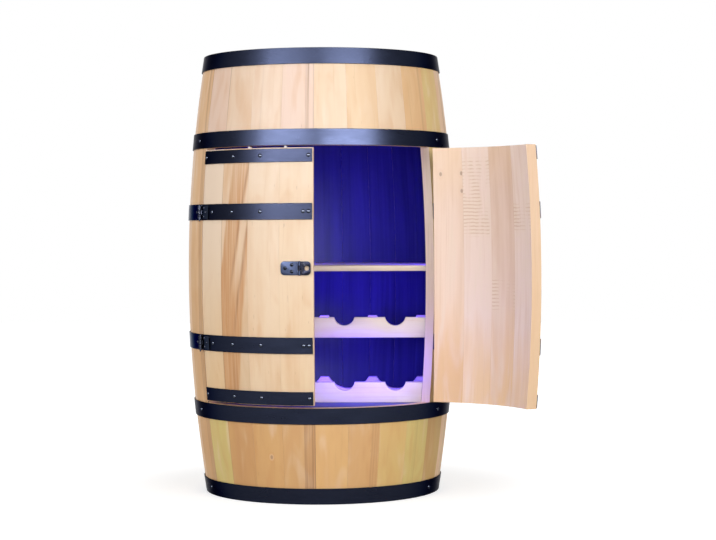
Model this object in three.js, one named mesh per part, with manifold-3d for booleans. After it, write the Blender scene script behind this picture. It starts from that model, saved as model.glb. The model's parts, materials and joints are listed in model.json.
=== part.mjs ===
// Barrel bar cabinet: a wooden stave barrel with two hinged doors cut from its front.
// Millimetres, +Z up, the front faces -Y, the origin is the middle of the base at floor level.
// Angles go round the barrel from the front middle (-Y) towards +X.

import * as THREE from 'three';
import { mergeVertices } from 'three/addons/utils/BufferGeometryUtils.js';
import Module from 'manifold-3d';

const wasm = await Module();
wasm.setup();

// Barrel body
const barrel_height = 800;
const bulge_radius = 247;
const end_radius = 214.2;
const stave_thickness = 18;
const stave_count = 25;
const door_staves = 4;
const facets_per_stave = 2;
const height_steps = 12;
const chime_bevel = 7;

// Clearances between neighbours
const gap = 0.3;
const running_gap = 0.4;
const axial_gap = 0.4;
const overrun = 40;
const merge_distance = 0.0003;
const least_level_step = 2;

// Doorway and doors
const doorway_inset = 171;
const door_bottom_gap = 4.5;
const door_top_gap = 4;
const door_hinge_gap = 1.6;
const door_seam_gap = 1;
const right_door_rest_angle = THREE.MathUtils.degToRad(110);

// Heads, floor and shelf
const head_thickness = 18;
const top_head_recess = 25;
const croze_depth = 5;
const floor_drop = 1;
const floor_thickness = 18;
const shelf_rise = 247;
const shelf_thickness = 10;
const fitting_setback = 4.7;
const cleat_height = 18;
const cleat_width = 20;
const cleat_length = 110;

// Bottle rails
const bottle_pitch = 92;
const bottles_per_row = 4;
const rail_thickness = 18;
const rail_height = 36.5;
const row_pitch = 117;
const neck_notch_radius = 19;
const neck_notch_rise = 4;
const back_rail_setback = 154;
const back_rail_rise = 31;
const body_notch_radius = 44;
const body_notch_rise = 21.5;
const notch_sides = 24;

// Hoops and door straps
const hoop_width = 28.5;
const hoop_thickness = 2;
const short_strap_width = 23.3;
const short_strap_inset = 1.8;
const hinge_strap_width = 28.5;
const upper_hinge_inset = 115;
const lower_hinge_inset = 109.5;
const strap_end_gap = 1.8;
const short_strap_hinge_gap = 2;
const rivet_radius = 3.6;
const rivet_rise = 2;
const rivet_root = 1.2;
const fastener_sides = 6;

// Door hinges
const knuckle_clearance = 0.9;
const leaf_height = 25;
const leaf_thickness = 1.6;
const leaf_width = 26.5;
const leaf_relief = 0.5;
const knuckle_radius = 3.2;
const pin_radius = 1.5;
const pin_tail = 4;
const pin_sides = 10;
const leaf_screw_radius = 2.6;
const leaf_screw_rise = 1.1;
const near_screw_offset = 10.5;
const far_screw_offset = 18;
const near_screw_spread = 15.4;

// Latch on the left door
const latch_height_share = 0.5773;
const latch_width = 24;
const latch_sheet = 1.6;
const latch_reach = 58.6;
const latch_pivot_distance = 25;
const latch_flap_end = 5.4;
const latch_hole_distance = 12.2;
const latch_hole_radius = 4;
const latch_knuckle_radius = 2.4;
const latch_pin_radius = 1.1;
const latch_corner = 5;
const latch_screw_radius = 3.2;
const latch_screw_rise = 1.6;
const latch_outer_screw = 50.5;
const latch_inner_screw = 38.5;
const latch_screw_spread = 11.6;
const flap_lift = 1.9;

// Hook on the right door
const hook_pivot_distance = 22;
const hook_plate_width = 18;
const hook_plate_length = 34;
const hook_plate_edge = 8;
const hook_arm_width = 8;
const hook_arm_thickness = 2.5;
const hook_tip_radius = 2.5;
const hook_pin_radius = 2;
const hook_bore_radius = 2.3;
const hook_pin_rise = 1;
const hook_cap_radius = 4;

// Light strips and power socket
const strip_angle = THREE.MathUtils.degToRad(67);
const strip_width = 10;
const strip_depth = 4;
const strip_floor_gap = 6;
const strip_top_gap = 9;
const socket_height = 62;
const socket_radius = 5.2;
const socket_flange_radius = 9;
const socket_flange_thickness = 2;
const socket_jack_radius = 3.4;
const socket_jack_depth = 9;
const socket_sides = 12;

// Sizes that follow from the values above
const stave_angle = 2 * Math.PI / stave_count;
const facet_count = stave_count * facets_per_stave;
const facet_angle = 2 * Math.PI / facet_count;
const doorway_angle = door_staves * stave_angle;
const half_height = barrel_height / 2;
const doorway_bottom = doorway_inset;
const doorway_top = barrel_height - doorway_inset;
const door_bottom = doorway_bottom + door_bottom_gap;
const door_top = doorway_top - door_top_gap;
const upper_hinge_height = doorway_top - upper_hinge_inset;
const lower_hinge_height = doorway_bottom + lower_hinge_inset;
const latch_height = lower_hinge_height + latch_height_share * (upper_hinge_height - lower_hinge_height);
const floor_top = doorway_bottom - floor_drop;
const shelf_top = floor_top + shelf_rise;
const back_rail_top = floor_top + back_rail_rise;
const back_rail_front = bulge_radius - stave_thickness - back_rail_setback;
const fitting_front = fitting_setback - (bulge_radius - stave_thickness) * Math.cos(doorway_angle);
const strip_bottom = floor_top + strip_floor_gap;
const strip_top = doorway_top - strip_top_gap;
const facet_flatness = Math.cos(facet_angle / 2);
const facet_half_width = bulge_radius * Math.sin(facet_angle / 2);

function wood_radius(z) {
  const share = (z - half_height) / half_height;
  return bulge_radius - (bulge_radius - end_radius) * share * share;
}

function inner_radius(z) {
  return wood_radius(z) - stave_thickness;
}

// Solids: closing a geometry, cutting, joining and keeping what two shapes share

function to_solid(geometry) {
  const bare = geometry.clone();
  bare.deleteAttribute('normal');
  bare.deleteAttribute('uv');
  const merged = mergeVertices(bare, merge_distance);
  const mesh = new wasm.Mesh({
    numProp: 3,
    vertProperties: new Float32Array(merged.attributes.position.array),
    triVerts: new Uint32Array(merged.index.array),
  });
  return new wasm.Manifold(mesh);
}

function to_geometry(solid) {
  const mesh = solid.getMesh();
  const geometry = new THREE.BufferGeometry();
  geometry.setAttribute('position', new THREE.BufferAttribute(new Float32Array(mesh.vertProperties), 3));
  geometry.setIndex(new THREE.BufferAttribute(new Uint32Array(mesh.triVerts), 1));
  geometry.computeVertexNormals();
  return geometry;
}

function join(pieces) {
  return to_geometry(pieces.map(to_solid).reduce((whole, piece) => whole.add(piece)));
}

function cut(base, tools) {
  return to_geometry(tools.map(to_solid).reduce((left, tool) => left.subtract(tool), to_solid(base)));
}

function common(first, second) {
  return to_geometry(to_solid(first).intersect(to_solid(second)));
}

// Turned shapes: the profile is a list of [radius, height] that goes up on its outer side

function turned(profile, sides = facet_count) {
  const points = profile.map(([radius, height]) => new THREE.Vector2(radius, height));
  const geometry = new THREE.LatheGeometry(points, sides);
  geometry.rotateX(Math.PI / 2);
  return geometry;
}

function turned_ring(profile, sides = facet_count) {
  return turned([...profile, profile[0]], sides);
}

function block(x0, x1, y0, y1, z0, z1) {
  const geometry = new THREE.BoxGeometry(x1 - x0, y1 - y0, z1 - z0);
  geometry.translate((x0 + x1) / 2, (y0 + y1) / 2, (z0 + z1) / 2);
  return geometry;
}

function plate(points, z0, z1) {
  const shape = new THREE.Shape(points.map(([x, y]) => new THREE.Vector2(x, y)));
  const geometry = new THREE.ExtrudeGeometry(shape, { depth: z1 - z0, bevelEnabled: false });
  geometry.translate(0, 0, z0);
  return geometry;
}

function upright_rod(radius, x, y, z0, z1, sides) {
  const geometry = new THREE.CylinderGeometry(radius, radius, z1 - z0, sides);
  geometry.rotateX(Math.PI / 2);
  geometry.translate(x, y, (z0 + z1) / 2);
  return geometry;
}

// A wedge of the barrel between two angles, drawn in from its sides by a distance each
function wedge(from, to, from_gap, to_gap, z0, z1) {
  const near = bulge_radius / 2;
  const far = bulge_radius * 2;
  const along = (angle, distance, side) => [
    Math.sin(angle) * distance + Math.cos(angle) * side,
    -Math.cos(angle) * distance + Math.sin(angle) * side,
  ];
  const middle = (from + to) / 2;
  return plate([
    along(from, near, from_gap),
    along(from, far, from_gap),
    along(middle, far / Math.cos((to - from) / 2), (from_gap - to_gap) / 2),
    along(to, far, -to_gap),
    along(to, near, -to_gap),
  ], z0, z1);
}

// A conical band that follows the wood at a distance above its skin
function band(z0, z1, lift, thickness) {
  return turned_ring([
    [wood_radius(z0) + lift, z0],
    [wood_radius(z0) + lift + thickness, z0],
    [wood_radius(z1) + lift + thickness, z1],
    [wood_radius(z1) + lift, z1],
  ]);
}

// Heights at which the bowed sides are drawn
function level_heights(z0, z1) {
  const heights = [z0];
  for (let step = 1; step < height_steps; step += 1) {
    const z = barrel_height * step / height_steps;
    if (z > z0 + least_level_step && z < z1 - least_level_step) heights.push(z);
  }
  heights.push(z1);
  return heights;
}

const top_head_top = barrel_height - top_head_recess;
const top_head_bottom = top_head_top - head_thickness;
const croze_radius = inner_radius((top_head_top + top_head_bottom) / 2) + croze_depth;

function barrel_wood() {
  const outer = level_heights(0, barrel_height).map((z) => [wood_radius(z), z]);
  const inner = level_heights(0, top_head_bottom - gap).reverse().map((z) => [inner_radius(z), z]);
  return turned_ring([
    ...outer,
    [inner_radius(barrel_height) + chime_bevel, barrel_height],
    [inner_radius(barrel_height - chime_bevel), barrel_height - chime_bevel],
    [inner_radius(top_head_top + gap), top_head_top + gap],
    [croze_radius, top_head_top + gap],
    [croze_radius, top_head_bottom - gap],
    ...inner,
  ]);
}

// The room inside the staves, less the clearance that a fitted piece keeps
function inner_room(z0, z1) {
  const wall = level_heights(z0, z1).map((z) => [inner_radius(z) - gap, z]);
  return turned([[0, z0], ...wall, [0, z1]]);
}

// Domed rivets and screws, placed on the facet that lies under them

function dome(radius, rise) {
  const shoulder_share = 0.72;
  return turned([
    [0, -rivet_root],
    [radius, -rivet_root],
    [radius, 0],
    [radius * shoulder_share, rise * shoulder_share],
    [0, rise],
  ], fastener_sides);
}

function on_facet(geometry, angle, skin_radius, z) {
  const facet_middle = (Math.floor(angle / facet_angle) + 0.5) * facet_angle;
  const flat = skin_radius * facet_flatness;
  geometry.rotateX(Math.PI / 2);
  geometry.translate(flat * Math.tan(angle - facet_middle), -flat, z);
  geometry.rotateZ(facet_middle);
  return geometry;
}

function rivet(angle, z) {
  return on_facet(dome(rivet_radius, rivet_rise), angle, wood_radius(z) + gap + hoop_thickness, z);
}

// Materials

function wood(colour) {
  return new THREE.MeshStandardMaterial({ color: colour, roughness: 0.62, metalness: 0 });
}

function black_steel() {
  return new THREE.MeshStandardMaterial({ color: 0x22242b, roughness: 0.38, metalness: 0.75 });
}

function lit_lens() {
  return new THREE.MeshStandardMaterial({ color: 0x3a2cf0, roughness: 0.3, metalness: 0 });
}

function black_plastic() {
  return new THREE.MeshStandardMaterial({ color: 0x17171a, roughness: 0.5, metalness: 0 });
}

const outer_wood_colour = 0xf0d3ab;
const inner_wood_colour = 0xe8cfb4;

const cabinet = new THREE.Group();
const left_door = new THREE.Group();
const right_door = new THREE.Group();
cabinet.add(left_door, right_door);

function add_piece(name, geometry, material, parent = cabinet) {
  const mesh = new THREE.Mesh(geometry, material);
  mesh.name = name;
  parent.add(mesh);
  return mesh;
}

// Staves: the full ones in pairs round the back, short ones above and below the doors

const barrel_ring = barrel_wood();

function stave_run(first, count, z0, z1) {
  const from = first * stave_angle;
  const to = (first + count) * stave_angle;
  return common(barrel_ring, wedge(from, to, gap / 2, gap / 2, z0, z1));
}

function add_full_staves() {
  const full_count = stave_count - 2 * door_staves;
  const back_stave = door_staves + (full_count - 1) / 2;
  const pairs_per_side = (full_count - 1) / 4;
  for (let pair = 0; pair < pairs_per_side; pair += 1) {
    const right_first = door_staves + 2 * pair;
    const left_first = stave_count - door_staves - 2 * (pair + 1);
    const number = pair + 1;
    add_piece(`right_stave_pair_${number}`,
      stave_run(right_first, 2, -overrun, barrel_height + overrun), wood(outer_wood_colour));
    add_piece(`left_stave_pair_${number}`,
      stave_run(left_first, 2, -overrun, barrel_height + overrun), wood(outer_wood_colour));
  }
  const plain = stave_run(back_stave, 1, -overrun, barrel_height + overrun);
  add_piece('back_stave', cut(plain, [socket_bore()]), wood(outer_wood_colour));
}

function add_short_staves() {
  for (let pair = 0; pair < door_staves; pair += 1) {
    const first = 2 * pair - door_staves;
    const number = pair + 1;
    add_piece(`upper_front_stave_pair_${number}`,
      stave_run(first, 2, doorway_top, barrel_height + overrun), wood(outer_wood_colour));
    add_piece(`lower_front_stave_pair_${number}`,
      stave_run(first, 2, -overrun, doorway_bottom), wood(outer_wood_colour));
  }
}

// Heads, floor board and shelf

function add_heads() {
  const top = turned([
    [0, top_head_bottom],
    [croze_radius - gap, top_head_bottom],
    [croze_radius - gap, top_head_top],
    [0, top_head_top],
  ]);
  add_piece('top_head', top, wood(outer_wood_colour));
  add_piece('bottom_head', inner_room(0, head_thickness), wood(outer_wood_colour));
}

function add_floor_board() {
  add_piece('floor_board', inner_room(floor_top - floor_thickness, floor_top), wood(inner_wood_colour));
}

// A strip of the inner wall: its faces lie at two distances inside the staves' inner skin
function strip_body(side, near_wall, off_wall, grown) {
  const half = strip_width / 2 + grown;
  const z0 = strip_bottom - grown;
  const z1 = strip_top + grown;
  const heights = level_heights(z0, z1);
  const outside = heights.map((z) => [inner_radius(z) - near_wall, z]);
  const inside = heights.map((z) => [inner_radius(z) - off_wall, z]).reverse();
  const angle = side * strip_angle;
  return common(turned_ring([...outside, ...inside]), wedge(angle, angle, -half, -half, z0, z1));
}

function add_shelf() {
  const disc = inner_room(shelf_top - shelf_thickness, shelf_top);
  const reach = bulge_radius + overrun;
  const front = block(-reach, reach, fitting_front - reach, fitting_front, 0, barrel_height);
  const notches = [-1, 1].map((side) =>
    strip_body(side, -stave_thickness, strip_depth + 2 * gap, gap));
  add_piece('shelf', cut(disc, [front, ...notches]), wood(inner_wood_colour));
  for (const [name, side] of [['left', -1], ['right', 1]]) {
    const top = shelf_top - shelf_thickness - gap;
    const wall = inner_radius(top);
    const x0 = side * (wall - cleat_width);
    const x1 = side * (wall + overrun);
    const bar = block(Math.min(x0, x1), Math.max(x0, x1),
      -cleat_length / 2, cleat_length / 2, top - cleat_height, top);
    const room = inner_room(top - cleat_height, top);
    add_piece(`${name}_shelf_cleat`, common(bar, room), wood(inner_wood_colour));
  }
}

// Bottle rails: necks lie in the front pair, bodies in the back pair

function notched_rail(y0, z0, z1, notch_radius, notch_rise) {
  const reach = bulge_radius + overrun;
  const bar = block(-reach, reach, y0, y0 + rail_thickness, z0, z1);
  const notches = [];
  for (let place = 0; place < bottles_per_row; place += 1) {
    const x = (place - (bottles_per_row - 1) / 2) * bottle_pitch;
    const round = new THREE.CylinderGeometry(
      notch_radius, notch_radius, rail_thickness + 2 * overrun, notch_sides);
    round.translate(x, y0 + rail_thickness / 2, z1 + notch_rise);
    notches.push(round);
  }
  return cut(common(bar, inner_room(z0, z1)), notches);
}

function add_rails() {
  for (const [name, lift] of [['lower', 0], ['upper', row_pitch]]) {
    const front_bottom = floor_top + gap + lift;
    const front_top = floor_top + rail_height + lift;
    const back_bottom = lift === 0 ? floor_top + gap : back_rail_top + lift - rail_height;
    add_piece(`${name}_front_rail`,
      notched_rail(fitting_front, front_bottom, front_top, neck_notch_radius, neck_notch_rise),
      wood(inner_wood_colour));
    add_piece(`${name}_back_rail`,
      notched_rail(back_rail_front, back_bottom, back_rail_top + lift, body_notch_radius, body_notch_rise),
      wood(inner_wood_colour));
  }
}

// Hoops: four go right round, two run from hinge to hinge round the back

function lap_rivets(z) {
  const spread = hoop_width / bulge_radius / 2;
  return [rivet(Math.PI - spread, z), rivet(Math.PI + spread, z)];
}

function side_rivets(z) {
  const inset = stave_angle / 2;
  return [rivet(doorway_angle + inset, z), rivet(-doorway_angle - inset, z)];
}

function add_hoop(name, z0, z1, fixings) {
  const hoop = band(z0, z1, gap, hoop_thickness);
  add_piece(name, join([hoop, ...fixings]), black_steel());
}

function add_hoops() {
  const half_width = hoop_width / 2;
  const high_mid = doorway_top + half_width;
  const low_mid = doorway_bottom - half_width;
  add_hoop('top_hoop', barrel_height - hoop_width, barrel_height, lap_rivets(barrel_height - half_width));
  add_hoop('upper_quarter_hoop', doorway_top, doorway_top + hoop_width,
    [...lap_rivets(high_mid), ...side_rivets(high_mid)]);
  add_hoop('lower_quarter_hoop', doorway_bottom - hoop_width, doorway_bottom,
    [...lap_rivets(low_mid), ...side_rivets(low_mid)]);
  add_hoop('bottom_hoop', 0, hoop_width, [...lap_rivets(half_width), ...side_rivets(half_width)]);
}

function add_bilge_hoop(name, z) {
  const z0 = z - hinge_strap_width / 2;
  const z1 = z + hinge_strap_width / 2;
  const doorway = wedge(-doorway_angle, doorway_angle, -gap, -gap, z0 - overrun, z1 + overrun);
  const hoop = cut(band(z0, z1, gap, hoop_thickness), [doorway]);
  add_piece(name, join([hoop, ...lap_rivets(z)]), black_steel());
}

// Door hinges: the frame leaf carries the pin, the door leaf turns on it

const leaf_lift = hoop_thickness + 2 * gap;
const knuckle_length = (leaf_height - 2 * axial_gap) / 3;
const hinge_skin = Math.max(wood_radius(upper_hinge_height), wood_radius(lower_hinge_height));
const hinge_radius = hinge_skin + gap + hoop_thickness + knuckle_clearance + knuckle_radius;

function knuckle_places(z) {
  const bottom = z - leaf_height / 2;
  const middle = bottom + knuckle_length + axial_gap;
  const top = middle + knuckle_length + axial_gap;
  return { bottom, middle, top };
}

function beside_hinge(ring, side, on_door, from, to, z0, z1) {
  const inward = on_door ? -1 : 1;
  const angle = side * doorway_angle;
  const low = side * inward > 0 ? from : -to;
  const high = side * inward > 0 ? to : -from;
  return common(ring, wedge(angle, angle, low, -high, z0, z1));
}

function leaf_part(side, on_door, from, to, z0, z1) {
  return beside_hinge(band(z0, z1, leaf_lift, leaf_thickness), side, on_door, from, to, z0, z1);
}

// The curl of a leaf rises from the strap to the middle of the pin
function leaf_curl(side, on_door, z0, z1) {
  const near = pin_radius / 2;
  const ring = turned_ring([
    [wood_radius(z0) + leaf_lift, z0],
    [hinge_radius, z0],
    [hinge_radius, z1],
    [wood_radius(z1) + leaf_lift, z1],
  ]);
  return beside_hinge(ring, side, on_door, near, near + leaf_thickness, z0, z1);
}

function leaf_screws(side, on_door, z) {
  const inward = on_door ? -1 : 1;
  const skin = (height) => wood_radius(height) + leaf_lift + leaf_thickness;
  const place = (distance, height) => {
    const angle = side * (doorway_angle + inward * distance / bulge_radius);
    return on_facet(dome(leaf_screw_radius, leaf_screw_rise), angle, skin(height), height);
  };
  return [
    place(near_screw_offset, z - near_screw_spread / 2),
    place(near_screw_offset, z + near_screw_spread / 2),
    place(far_screw_offset, z),
  ];
}

function hinge_rod(side, radius, z0, z1) {
  const x = Math.sin(side * doorway_angle) * hinge_radius;
  const y = -Math.cos(side * doorway_angle) * hinge_radius;
  return upright_rod(radius, x, y, z0, z1, pin_sides);
}

function hinge_leaf(side, on_door, z) {
  const { bottom, middle, top } = knuckle_places(z);
  const clear = knuckle_radius + leaf_relief;
  const own = on_door ? [middle] : [bottom, top];
  const body = leaf_part(side, on_door, clear, leaf_width, z - leaf_height / 2, z + leaf_height / 2);
  const webs = own.map((start) =>
    leaf_part(side, on_door, pin_radius / 2, clear + gap, start, start + knuckle_length));
  const curls = own.map((start) => leaf_curl(side, on_door, start, start + knuckle_length));
  const knuckles = own.map((start) => hinge_rod(side, knuckle_radius, start, start + knuckle_length));
  const whole = join([body, ...webs, ...curls, ...knuckles, ...leaf_screws(side, on_door, z)]);
  if (on_door) {
    return cut(whole, [hinge_rod(side, pin_radius + gap, middle - overrun, middle + overrun)]);
  }
  return join([whole, hinge_rod(side, pin_radius, bottom - pin_tail, top + knuckle_length)]);
}

// Doors: four joined staves each, with two short straps and two hinge straps

const seam_reach = Math.asin(door_seam_gap / bulge_radius);

function door_part(shape, side, hinge_gap, seam_gap, z0, z1) {
  if (side < 0) {
    return common(shape, wedge(-doorway_angle, 0, hinge_gap, seam_gap, z0, z1));
  }
  return common(shape, wedge(0, doorway_angle, seam_gap, hinge_gap, z0, z1));
}

function door_strap(side, z, width, hinge_gap, distances) {
  const z0 = z - width / 2;
  const z1 = z + width / 2;
  const seam_gap = door_seam_gap + strap_end_gap;
  const strip = door_part(band(z0, z1, gap, hoop_thickness), side, hinge_gap, seam_gap,
    z0 - overrun, z1 + overrun);
  const rivets = distances.map((distance) => rivet(side * (distance / bulge_radius + seam_reach), z));
  return join([strip, ...rivets]);
}

const door_arc = doorway_angle * bulge_radius;
const short_rivet_shares = [0.034, 0.4, 0.645, 0.965];
const hinge_rivet_shares = [0.033, 0.071, 0.39, 0.637, 0.85];

function add_door(name, side, parent) {
  const panel = door_part(barrel_ring, side, door_hinge_gap, door_seam_gap, door_bottom, door_top);
  add_piece(`${name}_door_panel`, panel, wood(outer_wood_colour), parent);
  const short_rivets = short_rivet_shares.map((share) => share * door_arc);
  const hinge_rivets = hinge_rivet_shares.map((share) => share * door_arc);
  const short_half = short_strap_width / 2;
  for (const [place, z] of [
    ['top', door_top - short_strap_inset - short_half],
    ['bottom', door_bottom + short_strap_inset / 2 + short_half],
  ]) {
    const strap = door_strap(side, z, short_strap_width, short_strap_hinge_gap, short_rivets);
    add_piece(`${name}_door_${place}_strap`, strap, black_steel(), parent);
  }
  for (const [place, z] of [['upper', upper_hinge_height], ['lower', lower_hinge_height]]) {
    const strap = door_strap(side, z, hinge_strap_width, door_hinge_gap, hinge_rivets);
    add_piece(`${name}_${place}_hinge_strap`, strap, black_steel(), parent);
    add_piece(`${name}_${place}_door_leaf`, hinge_leaf(side, true, z), black_steel(), parent);
    add_piece(`${name}_${place}_frame_leaf`, hinge_leaf(side, false, z), black_steel());
  }
}

// Latch on the left door: a screwed plate, and a flap with a round eye that hinges on it

const flat_radius = bulge_radius * facet_flatness;
const eye_facet = -facet_angle / 2;
const plate_facet = -3 * facet_angle / 2;
const latch_pivot_x = facet_half_width - latch_pivot_distance;
const latch_pivot_y = -flat_radius - gap - latch_knuckle_radius;
const latch_bottom = latch_height - latch_width / 2;
const latch_top = latch_height + latch_width / 2;
const latch_knuckle = (latch_width - 2 * axial_gap) / 3;

// A flat sheet that faces outwards: points are [x, z], its back lies at the given distance
function sheet(points, holes, lift, thickness) {
  const shape = new THREE.Shape(points.map(([x, z]) => new THREE.Vector2(x, z)));
  for (const [x, z, radius] of holes) {
    shape.holes.push(new THREE.Path().absarc(x, z, radius, 0, 2 * Math.PI, true));
  }
  const geometry = new THREE.ExtrudeGeometry(shape,
    { depth: thickness, bevelEnabled: false, curveSegments: socket_sides });
  geometry.rotateX(Math.PI / 2);
  geometry.translate(0, -flat_radius - lift, 0);
  return geometry;
}

function latch_rod(radius, z0, z1) {
  const rod = upright_rod(radius, latch_pivot_x, latch_pivot_y, z0, z1, pin_sides);
  rod.rotateZ(eye_facet);
  return rod;
}

function add_latch(parent) {
  const clear = latch_knuckle_radius + running_gap;
  const left = 3 * facet_half_width - latch_reach;
  const right = 3 * facet_half_width - latch_pivot_distance - clear;
  const corner = latch_corner;
  const leaf = sheet([
    [left, latch_bottom + corner], [left + corner, latch_bottom],
    [right, latch_bottom], [right, latch_top],
    [left + corner, latch_top], [left, latch_top - corner],
  ], [], gap, latch_sheet);
  leaf.rotateZ(plate_facet);
  const webs = [latch_bottom, latch_top - latch_knuckle].map((start) => {
    const web = sheet([
      [right - clear, start], [right + clear, start],
      [right + clear, start + latch_knuckle], [right - clear, start + latch_knuckle],
    ], [], gap, latch_sheet);
    web.rotateZ(plate_facet);
    return web;
  });
  const screw = (distance, z) => {
    const head = dome(latch_screw_radius, latch_screw_rise);
    head.rotateX(Math.PI / 2);
    head.translate(3 * facet_half_width - distance, -flat_radius - gap - latch_sheet, z);
    head.rotateZ(plate_facet);
    return head;
  };
  const body = join([
    leaf, ...webs,
    latch_rod(latch_knuckle_radius, latch_bottom, latch_bottom + latch_knuckle),
    latch_rod(latch_knuckle_radius, latch_top - latch_knuckle, latch_top),
    latch_rod(latch_pin_radius, latch_bottom, latch_top),
    screw(latch_outer_screw, latch_height),
    screw(latch_inner_screw, latch_height - latch_screw_spread / 2),
    screw(latch_inner_screw, latch_height + latch_screw_spread / 2),
  ]);
  add_piece('latch_plate', body, black_steel(), parent);

  const flap_end = facet_half_width - latch_flap_end;
  const flap_start = latch_pivot_x + clear;
  const eye = [facet_half_width - latch_hole_distance, latch_height, latch_hole_radius];
  const flap = sheet([
    [flap_start, latch_bottom], [flap_end - corner, latch_bottom],
    [flap_end, latch_bottom + corner], [flap_end, latch_top - corner],
    [flap_end - corner, latch_top], [flap_start, latch_top],
  ], [eye], flap_lift, latch_sheet);
  const middle = latch_bottom + latch_knuckle + axial_gap;
  const tongue = sheet([
    [latch_pivot_x, middle], [flap_start + clear / 2, middle],
    [flap_start + clear / 2, middle + latch_knuckle], [latch_pivot_x, middle + latch_knuckle],
  ], [], flap_lift, latch_sheet);
  flap.rotateZ(eye_facet);
  tongue.rotateZ(eye_facet);
  const turning = join([flap, tongue, latch_rod(latch_knuckle_radius, middle, middle + latch_knuckle)]);
  const bore = latch_rod(latch_pin_radius + gap, latch_bottom - overrun, latch_top + overrun);
  add_piece('latch_flap', cut(turning, [bore]), black_steel(), parent);
}

// Hook on the right door: it hangs from a small plate and swings up to drop into the eye

function hook_rod(radius, x, z, from_lift, to_lift) {
  const rod = new THREE.CylinderGeometry(radius, radius, to_lift - from_lift, socket_sides);
  rod.translate(x, -flat_radius - (from_lift + to_lift) / 2, z);
  return rod;
}

// The raised arm passes over the near end of the latch flap
const hook_arm_back = flap_lift + latch_sheet + running_gap - latch_flap_end * Math.tan(facet_angle);

function add_hook(parent) {
  const pivot_x = hook_pivot_distance - facet_half_width;
  const plate_back = gap;
  const arm_back = hook_arm_back;
  const plate_front = arm_back - gap;
  const arm_front = arm_back + hook_arm_thickness;
  const left = pivot_x - hook_plate_edge;
  const right = left + hook_plate_length;
  const half = hook_plate_width / 2;
  const screw = (x) => {
    const head = dome(latch_screw_radius, latch_screw_rise);
    head.rotateX(Math.PI / 2);
    head.translate(x, -flat_radius - plate_front, latch_height);
    return head;
  };
  const base = join([
    block(left, right, -flat_radius - plate_front, -flat_radius - plate_back,
      latch_height - half, latch_height + half),
    hook_rod(hook_pin_radius, pivot_x, latch_height, plate_back, arm_front + hook_pin_rise),
    hook_rod(hook_cap_radius, pivot_x, latch_height, arm_front + gap, arm_front + gap + hook_pin_rise),
    screw((pivot_x + right) / 2), screw(right - hook_cap_radius),
  ]);
  base.rotateZ(facet_angle / 2);
  add_piece('hook_plate', base, black_steel(), parent);

  const length = hook_pivot_distance + latch_hole_distance;
  const arm_half = hook_arm_width / 2;
  const arm = join([
    block(pivot_x - arm_half, pivot_x + arm_half, -flat_radius - arm_front, -flat_radius - arm_back,
      latch_height - length, latch_height),
    hook_rod(arm_half, pivot_x, latch_height, arm_back, arm_front),
    hook_rod(arm_half, pivot_x, latch_height - length, arm_back, arm_front),
    hook_rod(hook_tip_radius, pivot_x, latch_height - length, running_gap, arm_front),
  ]);
  const bored = cut(arm, [hook_rod(hook_bore_radius, pivot_x, latch_height, -overrun, overrun)]);
  bored.rotateZ(facet_angle / 2);
  add_piece('door_hook', bored, black_steel(), parent);
}

// Light strips on the inner walls beside the doorway, and the power socket in the back stave

function add_light_strips() {
  add_piece('left_light_strip', strip_body(-1, gap, gap + strip_depth, 0), lit_lens());
  add_piece('right_light_strip', strip_body(1, gap, gap + strip_depth, 0), lit_lens());
}

function socket_tilt() {
  const share = (socket_height - half_height) / half_height;
  return Math.atan(-2 * (bulge_radius - end_radius) * share / half_height);
}

// The socket's own axis points outwards along +Z before it is set in the back stave
function set_in_back(geometry) {
  geometry.rotateX(-Math.PI / 2 - socket_tilt());
  geometry.translate(0, wood_radius(socket_height), socket_height);
  return geometry;
}

function socket_bore() {
  const reach = stave_thickness + overrun;
  return set_in_back(turned([
    [0, -reach], [socket_radius + gap, -reach], [socket_radius + gap, overrun], [0, overrun],
  ], socket_sides));
}

function add_power_socket() {
  const body = turned([
    [0, -stave_thickness],
    [socket_radius, -stave_thickness],
    [socket_radius, gap],
    [socket_flange_radius, gap],
    [socket_flange_radius, gap + socket_flange_thickness],
    [socket_jack_radius, gap + socket_flange_thickness],
    [socket_jack_radius, gap + socket_flange_thickness - socket_jack_depth],
    [0, gap + socket_flange_thickness - socket_jack_depth],
  ], socket_sides);
  add_piece('power_socket', set_in_back(body), black_plastic());
}

add_full_staves();
add_short_staves();
add_heads();
add_floor_board();
add_shelf();
add_rails();
add_hoops();
add_bilge_hoop('upper_bilge_hoop', upper_hinge_height);
add_bilge_hoop('lower_bilge_hoop', lower_hinge_height);
add_door('left', -1, left_door);
add_door('right', 1, right_door);
add_latch(left_door);
add_hook(right_door);
add_light_strips();
add_power_socket();

// The right door stands open about its hinge pins
const hinge_x = Math.sin(doorway_angle) * hinge_radius;
const hinge_y = -Math.cos(doorway_angle) * hinge_radius;
const swing = new THREE.Matrix4().makeTranslation(hinge_x, hinge_y, 0)
  .multiply(new THREE.Matrix4().makeRotationZ(right_door_rest_angle))
  .multiply(new THREE.Matrix4().makeTranslation(-hinge_x, -hinge_y, 0));
right_door.applyMatrix4(swing);

export default cabinet;
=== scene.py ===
import json
import math
import random

import bmesh
import bpy
from mathutils import Matrix, Vector


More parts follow.
